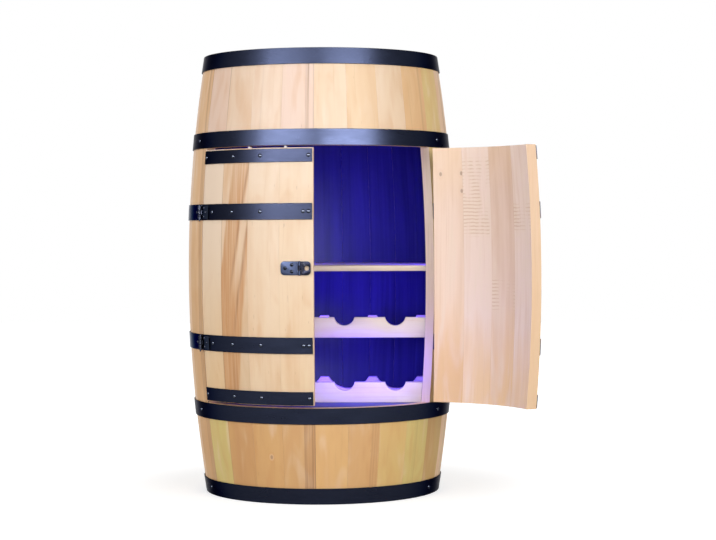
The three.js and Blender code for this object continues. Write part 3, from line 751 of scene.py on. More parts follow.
def faced_out(mesh, weld=0.0):
    """Merges doubles where asked, and turns every closed shell's faces outwards."""
    work = bmesh.new()
    work.from_mesh(mesh)
    if weld:
        bmesh.ops.remove_doubles(work, verts=work.verts, dist=weld)
    bmesh.ops.recalc_face_normals(work, faces=work.faces)
    work.to_mesh(mesh)
    work.free()
    return mesh


def give(mesh, name, values):
    """A vector for every point of the mesh, as an attribute that the materials read."""
    made = mesh.attributes.new(name, "FLOAT_VECTOR", "POINT")
    made.data.foreach_set("vector", [part for value in values for part in value])


def painted(mesh, number):
    """Gives every face of the mesh one material number."""
    mesh.polygons.foreach_set("material_index", [number] * len(mesh.polygons))
    return mesh


def moved(mesh, place):
    mesh.transform(place)
    return mesh


def merged(meshes, materials):
    """Several plain meshes as one; each keeps its material numbers."""
    work = bmesh.new()
    for mesh in meshes:
        work.from_mesh(mesh)
    made = mesh_of("merged", [], [], materials)
    work.to_mesh(made)
    work.free()
    return made


def smoothed(mesh, sharp_degrees):
    mesh.shade_smooth()
    mesh.set_sharp_from_angle(angle=math.radians(sharp_degrees))
    return mesh


def dress(node_name, mesh, suffix, sharp_degrees=30):
    """Sets a finished mesh in place of a CAD node, on the node's own body."""
    body = BODY_OF[node_name]
    if body in ("right_door", "door_hook"):
        mesh.transform(SWING)
    piece = put(f"{node_name}_{suffix}", smoothed(mesh, sharp_degrees))
    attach(piece, body)
    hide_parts(node_name)


COOPERING = coopering_tree()
STUDDING = studding_tree()


# Staves

# The faces of a board, by the number of their material
OUTSIDE, INSIDE, END, EDGE, CHIME, NIB = range(6)
PLAIN = (0.0, 0.0, 0.0)


def stave_rows(low, high):
    """Matched outer and inner points up a stave, each as (depth, height)."""
    has_croze = high > CROZE_TOP
    plain_top = CROZE_BOTTOM if has_croze else high - EASE
    count = max(1, round((plain_top - low) / ROW_STEP))
    rows = [((EASE, low), (STAVE_THICKNESS - EASE, low))]
    rows += [((0, z), (STAVE_THICKNESS, z)) for z in levels(low + EASE, plain_top, count)]
    if not has_croze:
        return rows + [((EASE, high), (STAVE_THICKNESS - EASE, high))]
    inner = [
        (STAVE_THICKNESS - CROZE_DEPTH, CROZE_BOTTOM),
        (STAVE_THICKNESS - CROZE_DEPTH, CROZE_TOP),
        (STAVE_THICKNESS, CROZE_TOP),
        (STAVE_THICKNESS, high - CHIME_BEVEL),
        (STAVE_THICKNESS - CHIME_BEVEL / 2, high - CHIME_BEVEL / 2),
    ]
    outer = levels(CROZE_BOTTOM, high - EASE, len(inner))[1:]
    rows += [((0, z), place) for z, place in zip(outer, inner)]
    return rows + [((EASE, high), (STAVE_THICKNESS - CHIME_BEVEL, high))]


def stave_columns(left, right):
    """Places across a stave, each with how far its edge is eased."""
    count = max(2, round((right - left) / COLUMN_STEP))
    return [(left, EASE)] + [(x, 0) for x in levels(left + EASE, right - EASE, count)] + [(right, EASE)]


class Boards:
    """Gathers flat boards with their grain map and attributes, then bends them round the barrel."""

    def __init__(self, inside, edge):
        self.materials = (OUTER_WOOD, inside, END_WOOD, edge, INNER_WOOD)
        self.points = []
        self.faces = []
        self.kinds = []
        self.grain = []
        self.marks = {"board": [], "heart": [], "figure": [], "ripple": []}

    def add(self, left, right, rows, tone, warm=0.0, heart=PLAIN, figure=PLAIN, ripple=PLAIN, middle=None):
        columns = stave_columns(left, right)
        middle = (left + right) / 2 if middle is None else middle
        stretch = 1 + 2 * STAVE_THICKNESS / STAVE_WIDTH
        marks = {"board": (random.uniform(1, 60), tone, warm), "heart": heart, "figure": figure,
                 "ripple": ripple}
        first = len(self.points)
        for x, ease in columns:
            for (outer_depth, outer_z), (inner_depth, inner_z) in rows:
                self.points += [(x, outer_depth + ease, outer_z), (x, inner_depth - ease, inner_z)]
                self.grain += [(x - middle, outer_z), ((x - middle) * stretch, inner_z)]
                for name, value in marks.items():
                    self.marks[name] += [value] * 2

        def at(column, row, inner):
            return first + (column * len(rows) + row) * 2 + inner

        last_column, last_row = len(columns) - 1, len(rows) - 1
        for column in range(last_column):
            for row in range(last_row):
                inside = CHIME if rows[row][1][1] > CROZE_BOTTOM + SLAB_EASE else INSIDE
                for inner, kind in ((0, OUTSIDE), (1, inside)):
                    self.face(kind, at(column, row, inner), at(column + 1, row, inner),
                              at(column + 1, row + 1, inner), at(column, row + 1, inner))
            for row in (0, last_row):
                self.face(END, at(column, row, 0), at(column + 1, row, 0),
                          at(column + 1, row, 1), at(column, row, 1))
        for column in (0, last_column):
            for row in range(last_row):
                self.face(EDGE, at(column, row, 0), at(column, row, 1),
                          at(column, row + 1, 1), at(column, row + 1, 0))

    def face(self, kind, *corners):
        self.faces.append(corners)
        self.kinds.append(kind)

    def bent(self):
        mesh = mesh_of("boards", self.points, self.faces, self.materials)
        mesh.polygons.foreach_set("material_index", self.kinds)
        grain = mesh.uv_layers.new(name="board_map")
        for loop in mesh.loops:
            grain.data[loop.index].uv = self.grain[loop.vertex_index]
        for name, values in self.marks.items():
            give(mesh, name, values)
        return grown_mesh(faced_out(mesh), COOPERING)


# The look of each board: how brown (tone), rose -1 to olive 1 (warm), and how much darker it turns towards
# the foot (depth).
# The front boards run from left to right, the side boards from the doorway to the back.
UPPER_BOARDS = [(-0.04, -0.7, 0.1), (0.12, -0.35, 0.0), (0.12, -0.4, 0.0), (0.05, -0.8, 0.0),
                (0.04, 0.15, 0.0), (0.22, 0.30, 0.0), (0.12, 0.15, 0.0), (0.42, 0.38, 0.0)]
LOWER_BOARDS = [(0.06, 0.98, 0.2), (0.72, 0.55, 0.45), (0.50, 0.62, 0.35), (0.52, 0.50, 0.45),
                (0.28, 0.60, 0.1), (0.52, 0.50, 0.25), (0.16, 0.80, 0.15), (0.05, 0.96, 0.2)]
REAR_BOARDS = [(0.45, 0.4, 0.0), (0.15, 0.1, 0.0), (0.5, -0.2, 0.0),
               (0.25, 0.5, 0.0), (0.6, 0.2, 0.0), (0.2, 0.0, 0.0)]
LEFT_SIDE_BOARDS = [(0.48, 0.28, 0.5), (0.30, -0.4, 0.0)] + REAR_BOARDS
RIGHT_SIDE_BOARDS = [(0.48, 0.92, 0.75), (0.30, -0.3, 0.0)] + REAR_BOARDS
# Heart streaks by stave number, as (left, right, strength) from the middle of the stave
SIDE_HEARTS = {-5: (0.013, 0.029, 0.42), 5: (-0.004, 0.010, 0.5), -9: (-0.012, 0.0, 0.6),
               10: (0.004, 0.020, 0.5)}
UPPER_HEARTS = {-1: (0.0145, 0.0225, 0.75), -2: (-0.014, -0.009, 0.3), 3: (0.016, 0.026, 0.25)}
LOWER_HEARTS = {-1: (0.0100, 0.0320, 0.75), 1: (0.014, 0.030, 0.3), 3: (-0.010, 0.0, 0.2)}
STRONG_JOINTS = {-3: -1.0, -1: 1.0, -5: 1.0, 6: 1.0, -8: -1.0}
KNOTTY_STAVE = -2


def add_staves(node_name, indexes, low, high, looks, hearts=SIDE_HEARTS):
    boards = Boards(PAINTED_SHADE_WALL, STAVE_EDGE)
    for index, (tone, warm, depth) in zip(indexes, looks):
        left = index * STAVE_WIDTH + JOINT_GAP
        right = (index + 1) * STAVE_WIDTH - JOINT_GAP
        figure = (0.0, STRONG_JOINTS.get(index, 0.0), depth)
        knotty = (0.0, 0.0, 1.0 if index == KNOTTY_STAVE else 0.0)
        boards.add(left, right, stave_rows(low, high), tone, warm, hearts.get(index, PLAIN), figure, knotty)
    dress(node_name, boards.bent(), "boards")


def add_barrel_staves():
    for pair in range(FULL_PAIRS):
        both = slice(2 * pair, 2 * pair + 2)
        right = DOOR_STAVES + 2 * pair
        left = -1 - right
        add_staves(f"right_stave_pair_{pair + 1}", [right, right + 1], 0, BARREL_HEIGHT,
                   RIGHT_SIDE_BOARDS[both])
        add_staves(f"left_stave_pair_{pair + 1}", [left, left - 1], 0, BARREL_HEIGHT,
                   LEFT_SIDE_BOARDS[both])
    for pair in range(DOOR_STAVES):
        both = slice(2 * pair, 2 * pair + 2)
        indexes = [2 * pair - DOOR_STAVES, 2 * pair - DOOR_STAVES + 1]
        add_staves(f"upper_front_stave_pair_{pair + 1}", indexes, DOORWAY_TOP, BARREL_HEIGHT,
                   UPPER_BOARDS[both], UPPER_HEARTS)
        add_staves(f"lower_front_stave_pair_{pair + 1}", indexes, 0, DOORWAY_BOTTOM,
                   LOWER_BOARDS[both], LOWER_HEARTS)
    add_back_stave()


def add_back_stave():
    """The back stave, with a round hole for the power socket."""
    boards = Boards(PAINTED_SHADE_WALL, STAVE_EDGE)
    boards.add(BACK - STAVE_WIDTH / 2 + JOINT_GAP, BACK + STAVE_WIDTH / 2 - JOINT_GAP,
               stave_rows(0, BARREL_HEIGHT), 0.5, 0.1)
    blank = put("blank", boards.bent())
    radius = SOCKET_RADIUS + GAP
    bore = turned_mesh([
        (0, -BORE_INWARD), (radius, -BORE_INWARD), (radius, BORE_OUTWARD), (0, BORE_OUTWARD),
    ], 48)
    bore.materials.append(END_WOOD)
    drill = put("drill", moved(bore, SOCKET_PLACE))
    hole = blank.modifiers.new("hole", "BOOLEAN")
    hole.operation = "DIFFERENCE"
    hole.solver = "EXACT"
    hole.object = drill
    drilled = settled(blank)
    bpy.data.objects.remove(drill)
    dress("back_stave", drilled, "boards")


# The doors' boards from the seam to the hinge: tone, warm, figure (fan of heartwood, strong joint,
# depth) and ripple (from which height to which the planer left ripples, and knots)
DOOR_BOARDS = {
    "left": [(0.03, 0.10, PLAIN, PLAIN), (0.05, -0.15, PLAIN, PLAIN),
             (0.08, 0.0, (1.0, -1.0, 0.40), PLAIN), (-0.15, 0.24, (0.0, 0.0, -0.9), PLAIN)],
    "right": [(0.06, -0.8, PLAIN, (0.475, 0.53, 0.0)), (0.37, -0.2, PLAIN, (0.335, 0.40, 0.0)),
              (0.0, -0.4, PLAIN, (0.465, 0.61, 0.0)), (0.0, 0.3, PLAIN, (0.0, 0.0, 1.0))],
}


def door_nib(across):
    """A small pale stop on top of a door, over a joint between two of its staves."""
    half = NIB_WIDTH / 2
    outline = rounded_box(-half, half, DOOR_TOP - EASE, DOOR_TOP + NIB_HEIGHT, (0, 0, half * 0.7, half * 0.7))
    mesh = painted(sheet_mesh([outline], NIB_DEPTH, NIB_DEPTH / 10), NIB)
    return stood_up(mesh, wood_radius(DOOR_TOP) - NIB_SETBACK, across / BULGE_RADIUS)


def add_doors():
    rows = stave_rows(DOOR_BOTTOM, DOOR_TOP)
    for side, word in SIDES:
        boards = Boards(INNER_WOOD, DOOR_EDGE)
        for step, (tone, warm, figure, ripple) in enumerate(DOOR_BOARDS[word]):
            near = step * STAVE_WIDTH + (DOOR_SEAM_GAP if step == 0 else JOINT_GAP / 2)
            far = (step + 1) * STAVE_WIDTH - (DOOR_HINGE_GAP if step == DOOR_STAVES - 1 else JOINT_GAP / 2)
            left, right = sorted((side * near, side * far))
            middle = side * (step + 0.5) * STAVE_WIDTH
            boards.add(left, right, rows, tone, warm, PLAIN, figure, ripple, middle)
        mesh = boards.bent()
        if side < 0:
            mesh = merged([mesh] + [door_nib(place) for place in NIB_PLACES], [*mesh.materials, LIT_WHITE_STOP])
        dress(f"{word}_door_panel", mesh, "boards")


# Turned and flat metal shapes

TUBE_SEGMENTS = 28
PIN_SEGMENTS = 20


def turned_mesh(profile, segments=32, closed=False):
    """A shape turned about Z from (radius, height) points; a closed profile makes a ring."""
    points = []
    rings = []
    for radius, z in profile:
        first = len(points)
        if radius < 1e-9:
            rings.append([first] * segments)
            points.append((0, 0, z))
            continue
        rings.append([first + step for step in range(segments)])
        points += [(x, y, z) for x, y in arc(0, 0, radius, 0, 2 * math.pi, segments)[:-1]]
    faces = []
    pairs = list(zip(rings, rings[1:])) + ([(rings[-1], rings[0])] if closed else [])
    for low, high in pairs:
        for step in range(segments):
            following = (step + 1) % segments
            corners = [low[step], low[following], high[following], high[step]]
            faces.append(list(dict.fromkeys(corners)))
    return faced_out(mesh_of("turned", points, faces))


def rounded_tube(outer, bore, low, high, ease):
    return turned_mesh([
        (bore, low), (outer - ease, low), (outer, low + ease),
        (outer, high - ease), (outer - ease, high), (bore, high),
    ], TUBE_SEGMENTS, closed=True)


def on_axis(mesh, axis):
    """Moves a turned shape to an upright hinge axis."""
    return moved(mesh, shift_by(axis.x, axis.y, 0))


def lofted(points, ring, materials=()):
    """A closed bar from sections that follow each other, each a ring of so many points."""
    faces = [(start + step, start + (step + 1) % ring, start + ring + (step + 1) % ring, start + ring + step)
             for start in range(0, len(points) - ring, ring) for step in range(ring)]
    faces += [tuple(range(ring)), tuple(range(len(points) - ring, len(points)))]
    return faced_out(mesh_of("bar", points, faces, materials))


def strip_mesh(columns, back, front, studs=()):
    """A flat strap from (across, low, high, eased, lifted) columns, with loose points for its studs."""
    ease = STEEL_EASE
    points = []
    for x, low, high, inset, lift in columns:
        outer, inner = -(front + lift) + inset, -(back + lift) - inset
        z0, z1 = low + inset, high - inset
        points += [
            (x, outer, z0 + ease), (x, outer, z1 - ease), (x, outer + ease, z1), (x, inner - ease, z1),
            (x, inner, z1 - ease), (x, inner, z0 + ease), (x, inner - ease, z0), (x, outer + ease, z0),
        ]
    mesh = lofted(points, 8)
    first = len(mesh.vertices)
    mesh.vertices.add(len(studs))
    for step, (x, z, lift) in enumerate(studs):
        mesh.vertices[first + step].co = (x, -lift, z)
    flags = mesh.attributes.new("stud", "FLOAT", "POINT")
    flags.data.foreach_set("value", [0.0] * first + [1.0] * len(studs))
    return mesh


def strap_columns(left, right, low, high, step=COLUMN_STEP):
    ease = STEEL_EASE
    count = max(2, round((right - left) / step))
    inner = [(x, low, high, 0, 0) for x in levels(left + ease, right - ease, count)]
    return [(left, low, high, ease, 0)] + inner + [(right, low, high, ease, 0)]


def leaf_columns(near, far, low, high, corner):
    """Columns of a leaf whose two far corners are rounded; near and far may run either way."""
    way = 1 if far > near else -1
    length = abs(far - near)
    places = [0, STEEL_EASE]
    places += [length * share for share in (0.25, 0.5, 0.75) if length * share < length - corner]
    places += [length - corner + corner * math.sin(math.pi / 2 * share)
               for share in (0, 0.3, 0.55, 0.78, 0.94)]
    columns = []
    for place in places:
        past = max(0.0, place - (length - corner))
        drop = corner - math.sqrt(max(0.0, corner * corner - past * past))
        columns.append((near + way * place, low + drop, high - drop, STEEL_EASE if place == 0 else 0, 0))
    columns.append((far, low + corner, high - corner, STEEL_EASE, 0))
    return columns[::way]


def domed_head():
    """A rivet head of radius 1 and rise 1 over its seat."""
    return turned_mesh([
        (0, 1), (0.28, 0.97), (0.52, 0.87), (0.74, 0.68), (0.89, 0.42), (0.97, 0.16), (1, -0.1),
        (1, -0.6), (0, -0.6),
    ], 24)


def crossed_head():
    """A screw head of radius 1 and rise 1 with a cross recess."""
    mesh = turned_mesh([
        (0, 0.98), (0.1, 0.98), (0.2, 0.97), (0.32, 0.95), (0.44, 0.9), (0.5, 0.88), (0.66, 0.76),
        (0.82, 0.54), (0.94, 0.26), (1, -0.05), (1, -0.6), (0, -0.6),
    ], 32)
    for vertex in mesh.vertices:
        reach = math.hypot(vertex.co.x, vertex.co.y)
        arm = min(abs(vertex.co.x), abs(vertex.co.y))
        if vertex.co.z > 0.8 and reach < 0.47 and arm < 0.1:
            vertex.co.z -= 0.62
    return mesh


def hidden_stock(name, mesh):
    """A head that the studding tree copies; it is removed when the steel is done."""
    mesh.materials.append(RIVET_STEEL)
    return put(name, smoothed(mesh, 50))


RIVET_HEAD = hidden_stock("rivet_stock", domed_head())
SCREW_HEAD = hidden_stock("screw_stock", crossed_head())


def studded(mesh, steel, head=RIVET_HEAD, radius=RIVET_RADIUS, rise=RIVET_RISE, seed=3):
    mesh.materials.append(steel)
    made = grown_mesh(mesh, STUDDING, head=head, head_radius=radius, head_rise=rise, turn_seed=seed,
                      steel=RIVET_STEEL)
    for name in ("outward", "stud"):
        if name in made.attributes:
            made.attributes.remove(made.attributes[name])
    return made


# Hoops and straps


def hoop_studs(low, high, side_rivets):
    """Two rivets through the lap at the back, and one beside each side of the doorway."""
    middle = (low + high) / 2
    spread = (high - low) / 2
    studs = [(BACK + way * spread, middle, STRAP_FRONT + HOOP_THICKNESS) for way in (-1, 1)]
    if side_rivets:
        studs += [(way * (DOORWAY_EDGE + STAVE_WIDTH / 2), middle, STRAP_FRONT) for way in (1, -1)]
    return studs


def lapped(columns, end, reach):
    """Lifts one end of a hoop, which lies on its other end."""
    lifted = []
    for x, low, high, inset, _ in columns:
        share = min(1.0, max(0.0, (reach - abs(x - end)) / LAP_RUN))
        lifted.append((x, low, high, inset, HOOP_THICKNESS * share * share * (3 - 2 * share)))
    return lifted


def add_hoop(node_name, side_rivets):
    """A whole hoop: one strip whose ends lap at the back."""
    low, high = heights(node_name)
    right = BACK + LAP_HALF
    columns = lapped(strap_columns(-right, right, low, high), right, LAP_REACH + STEEL_EASE)
    mesh = strip_mesh(columns, STRAP_BACK, STRAP_FRONT, hoop_studs(low, high, side_rivets))
    dress(node_name, studded(mesh, HOOP_STEEL), "band")


def add_bilge_hoop(node_name):
    """A hoop from hinge to hinge round the back, in two lapped lengths."""
    low, high = heights(node_name)
    edge, end = DOORWAY_EDGE + GAP, BACK + LAP_HALF
    under = strip_mesh(strap_columns(edge, end, low, high), STRAP_BACK, STRAP_FRONT)
    over = strip_mesh(lapped(strap_columns(-end, -edge, low, high), -end, LAP_REACH),
                      STRAP_BACK, STRAP_FRONT, hoop_studs(low, high, False))
    both = [studded(mesh, HOOP_STEEL) for mesh in (under, over)]
    dress(node_name, merged(both, [HOOP_STEEL, RIVET_STEEL]), "band")


def add_door_strap(node_name, side, hinge_gap, shares, steel):
    low, high = heights(node_name)
    left, right = sorted((side * (DOOR_SEAM_GAP + STRAP_END_GAP), side * (DOORWAY_EDGE - hinge_gap)))
    studs = [(side * (share * DOORWAY_EDGE + DOOR_SEAM_GAP), (low + high) / 2, STRAP_FRONT)
             for share in shares]
    mesh = strip_mesh(strap_columns(left, right, low, high), STRAP_BACK, STRAP_FRONT, studs)
    dress(node_name, studded(mesh, steel), "band")


def add_steelwork():
    add_hoop("top_hoop", False)
    for name in ("upper_quarter_hoop", "lower_quarter_hoop", "bottom_hoop"):
        add_hoop(name, True)
    add_bilge_hoop("upper_bilge_hoop")
    add_bilge_hoop("lower_bilge_hoop")
    for side, word in SIDES:
        # The top and upper straps take the darker copy of the hoop steel, painted shade on their sheen
        for place, steel in (("top", SHADED_STRAP_STEEL), ("bottom", HOOP_STEEL)):
            add_door_strap(f"{word}_door_{place}_strap", side, SHORT_STRAP_HINGE_GAP,
                           SHORT_RIVET_SHARES, steel)
        for place, steel in (("upper", SHADED_STRAP_STEEL), ("lower", HOOP_STEEL)):
            add_door_strap(f"{word}_{place}_hinge_strap", side, DOOR_HINGE_GAP, HINGE_RIVET_SHARES, steel)


# Hinges


def add_hinge_leaf(side, word, place, on_door):
    """One leaf of a butt hinge: a screwed plate, the curls that hold the pin, and the pin."""
    node_name = f"{word}_{place}_{'door' if on_door else 'frame'}_leaf"
    low, high = heights(node_name)
    bottom = high - LEAF_HEIGHT
    z = (bottom + high) / 2
    clear = KNUCKLE_RADIUS + LEAF_CLEARANCE

    def along(distance):
        return side * DOORWAY_EDGE + (-side if on_door else side) * distance

    studs = [(along(NEAR_SCREW), z - SCREW_SPREAD / 2, LEAF_FRONT),
             (along(NEAR_SCREW), z + SCREW_SPREAD / 2, LEAF_FRONT),
             (along(FAR_SCREW), z, LEAF_FRONT)]
    columns = leaf_columns(along(clear), along(LEAF_WIDTH), bottom, high, LEAF_CORNER)
    meshes = [studded(strip_mesh(columns, LEAF_BACK, LEAF_FRONT, studs), HINGE_STEEL,
                      SCREW_HEAD, LEAF_SCREW_RADIUS, LEAF_SCREW_RISE, seed=int(1000 * z) + side)]
    first = bottom + KNUCKLE_LENGTH + KNUCKLE_GAP
    axis = RIGHT_HINGE if side > 0 else LEFT_HINGE
    for start in [first] if on_door else [bottom, first + KNUCKLE_LENGTH + KNUCKLE_GAP]:
        end = start + KNUCKLE_LENGTH
        curl = on_axis(rounded_tube(KNUCKLE_RADIUS, KNUCKLE_BORE, start, end, STEEL_EASE), axis)
        ends = sorted((along(PIN_RADIUS * 1.2), along(clear + GAP)))
        web = strip_mesh(strap_columns(*ends, start, end, LEAF_THICKNESS), LEAF_BACK, LEAF_FRONT + STEEL_EASE)
        meshes += [curl, studded(web, HINGE_STEEL)]
    if not on_door:
        neck, shoulder, crown = (high + rise for rise in PIN_HEAD_RISES)
        meshes.append(on_axis(turned_mesh([
            (0, low), (PIN_RADIUS * 0.7, low), (PIN_RADIUS, low + PIN_CHAMFER), (PIN_RADIUS, neck),
            (PIN_RADIUS * 0.8, shoulder), (0, crown),
        ], PIN_SEGMENTS), axis))
    dress(node_name, merged(meshes, [HINGE_STEEL, RIVET_STEEL]), "hinge")


def add_hinges():
    for side, word in SIDES:
        for place in ("upper", "lower"):
            for on_door in (True, False):
                add_hinge_leaf(side, word, place, on_door)


# Flat sheets and slabs cut from an outline


def rounded_box(left, right, low, high, corners=(0, 0, 0, 0), steps=5):
    """A rectangle whose corners are rounded, from the lower left one round to the upper left one."""
    places = [Vector(place) for place in ((left, low), (right, low), (right, high), (left, high))]
    points = []
    for number, (here, radius) in enumerate(zip(places, corners)):
        if radius == 0:
            points.append(tuple(here))
            continue
        before = (places[number - 1] - here).normalized()
        after = (places[(number + 1) % 4] - here).normalized()
        middle = here + (before + after) * radius
        spoke = -after * radius
        for turn in levels(0, math.pi / 2, steps):
            points.append(tuple(middle + Matrix.Rotation(turn, 2) @ spoke))
    return points


def sheet_mesh(outlines, thickness, ease):
    """A sheet about z = 0 with eased edges; the first outline is the rim and the others are holes."""
    curve = bpy.data.curves.new("sheet", "CURVE")
    curve.dimensions = "2D"
    curve.fill_mode = "BOTH"
    curve.extrude = thickness / 2 - ease
    curve.bevel_depth = ease
    curve.bevel_resolution = 1
    curve.offset = -ease
    for outline in outlines:
        spline = curve.splines.new("POLY")
        spline.points.add(len(outline) - 1)
        spline.use_cyclic_u = True
        for place, (x, y) in zip(spline.points, outline):
            place.co = (x, y, 0, 1)
    made = settled(put("blank", curve))
    bpy.data.curves.remove(curve)
    made.materials.clear()
    return faced_out(made, weld=1e-6)


def slab(outline, low, high, ease=SLAB_EASE):
    """A level slab between two heights."""
    return moved(sheet_mesh([outline], high - low, ease), shift_by(0, 0, (low + high) / 2))


def on_face(angle, x, distance, z):
    """From a level shape to one that lies on an upright face at an angle round the barrel."""
    return turn_by(angle) @ shift_by(x, -distance, z) @ turn_by(math.pi / 2, "X")


def stood_up(mesh, distance, angle):
    return moved(mesh, on_face(angle, 0, distance, 0))


# Latch and hook

FACET_ANGLE = STAVE_ANGLE / 2
FLAT_RADIUS = BULGE_RADIUS * math.cos(FACET_ANGLE / 2)
FACET_HALF = BULGE_RADIUS * math.sin(FACET_ANGLE / 2)
LATCH_HEIGHT = FLAP_HINGE.z
LATCH_LOW, LATCH_HIGH = heights("latch_plate")
LATCH_SHEET = 0.0016
LATCH_REACH = 0.0586
LATCH_PIVOT = 0.025
LATCH_END = 0.0054
LATCH_ROUND = 0.0062
LATCH_SQUARE = 0.0004
LATCH_HOLE = 0.0122
LATCH_HOLE_RADIUS = 0.004
LATCH_KNUCKLE = 0.0024
LATCH_PIN = 0.0011
LATCH_PIN_REACH = 0.0004
LATCH_SCREW = 0.0032
LATCH_SCREW_RISE = 0.0016
LATCH_SCREW_PLACES = [(0.0505, 0.0), (0.0385, -0.0058), (0.0385, 0.0058)]
FLAP_LIFT = 0.0019
RUNNING_GAP = 0.0004
SHEET_EASE = 0.0003
HOOK_PIVOT = 0.022
HOOK_EDGE = 0.008
HOOK_PLATE_LENGTH = 0.034
HOOK_PLATE_WIDTH = 0.018
HOOK_PLATE_CORNER = 0.003
HOOK_ARM_BACK = FLAP_LIFT + LATCH_SHEET + RUNNING_GAP - LATCH_END * math.tan(FACET_ANGLE)
HOOK_ARM_THICKNESS = 0.0025
HOOK_ARM_WIDTH = 0.008
HOOK_ARM_EASE = 0.0005
HOOK_STEM = 0.0019
HOOK_STEM_HEAD = 0.004
HOOK_BORE = 0.0022
HOOK_TIP = 0.0025
HOOK_TIP_EASE = 0.0007
HOOK_TIP_ROOT = 0.0005
HOOK_CAP_RISES = (0.0011, 0.0014)
HOOK_SCREW_INSET = 0.004
HOOK_WAIST = 0.72
HOOK_WAIST_PLACES = (0.3, 0.72)


def set_screw(x, z, distance, angle, turn):
    size = Matrix.Diagonal((LATCH_SCREW, LATCH_SCREW, LATCH_SCREW_RISE, 1))
    return painted(moved(crossed_head(), on_face(angle, x, distance, z) @ turn_by(turn) @ size), 1)


def add_latch():
    """A screwed leaf on the left door, and the flap with the eye that swings on it."""
    length = (LATCH_HIGH - LATCH_LOW - 2 * KNUCKLE_GAP) / 3
    clear = LATCH_KNUCKLE + RUNNING_GAP
    lift = BULGE_RADIUS + GAP / 2
    angle = -3 * FACET_ANGLE / 2
    distance = lift + LATCH_SHEET / 2

    def sheet(outlines):
        return stood_up(sheet_mesh(outlines, LATCH_SHEET, SHEET_EASE), distance, angle)

    def knuckle(low, bore):
        return on_axis(rounded_tube(LATCH_KNUCKLE, bore, low, low + length, SHEET_EASE), FLAP_HINGE)

    right = 3 * FACET_HALF - LATCH_PIVOT - clear
    meshes = [sheet([rounded_box(3 * FACET_HALF - LATCH_REACH, right, LATCH_LOW, LATCH_HIGH,
                                 (LATCH_ROUND, LATCH_SQUARE, LATCH_SQUARE, LATCH_ROUND))])]
    for low in (LATCH_LOW, LATCH_HIGH - length):
        web = rounded_box(right - clear, right + clear, low, low + length)
        meshes += [sheet([web]), knuckle(low, LATCH_PIN)]
    meshes.append(on_axis(turned_mesh([
        (0, LATCH_LOW - 2 * LATCH_PIN_REACH), (LATCH_PIN, LATCH_LOW - LATCH_PIN_REACH),
        (LATCH_PIN, LATCH_HIGH + LATCH_PIN_REACH), (0, LATCH_HIGH + 2 * LATCH_PIN_REACH),
    ], PIN_SEGMENTS), FLAP_HINGE))
    for step, (back, rise) in enumerate(LATCH_SCREW_PLACES):
        meshes.append(set_screw(3 * FACET_HALF - back, LATCH_HEIGHT + rise, lift + LATCH_SHEET, angle,
                                0.4 + step))
    dress("latch_plate", merged(meshes, [LATCH_STEEL, SCREW_STEEL]), "leaf", 40)

    angle = -FACET_ANGLE / 2
    distance = FLAT_RADIUS + FLAP_LIFT + LATCH_SHEET / 2
    start = FACET_HALF - LATCH_PIVOT + clear
    low = LATCH_LOW + length + KNUCKLE_GAP
    rim = rounded_box(start, FACET_HALF - LATCH_END, LATCH_LOW, LATCH_HIGH,
                      (LATCH_SQUARE, LATCH_ROUND, LATCH_ROUND, LATCH_SQUARE))
    eye = arc(FACET_HALF - LATCH_HOLE, LATCH_HEIGHT, LATCH_HOLE_RADIUS, 0, 2 * math.pi, 36)[:-1]
    tongue = rounded_box(start - clear + LATCH_PIN * 1.2, start + clear / 2, low, low + length)
    meshes = [sheet([rim, eye]), sheet([tongue]), knuckle(low, LATCH_PIN + GAP)]
    dress("latch_flap", merged(meshes, [SHADED_FLAP_STEEL]), "leaf", 40)


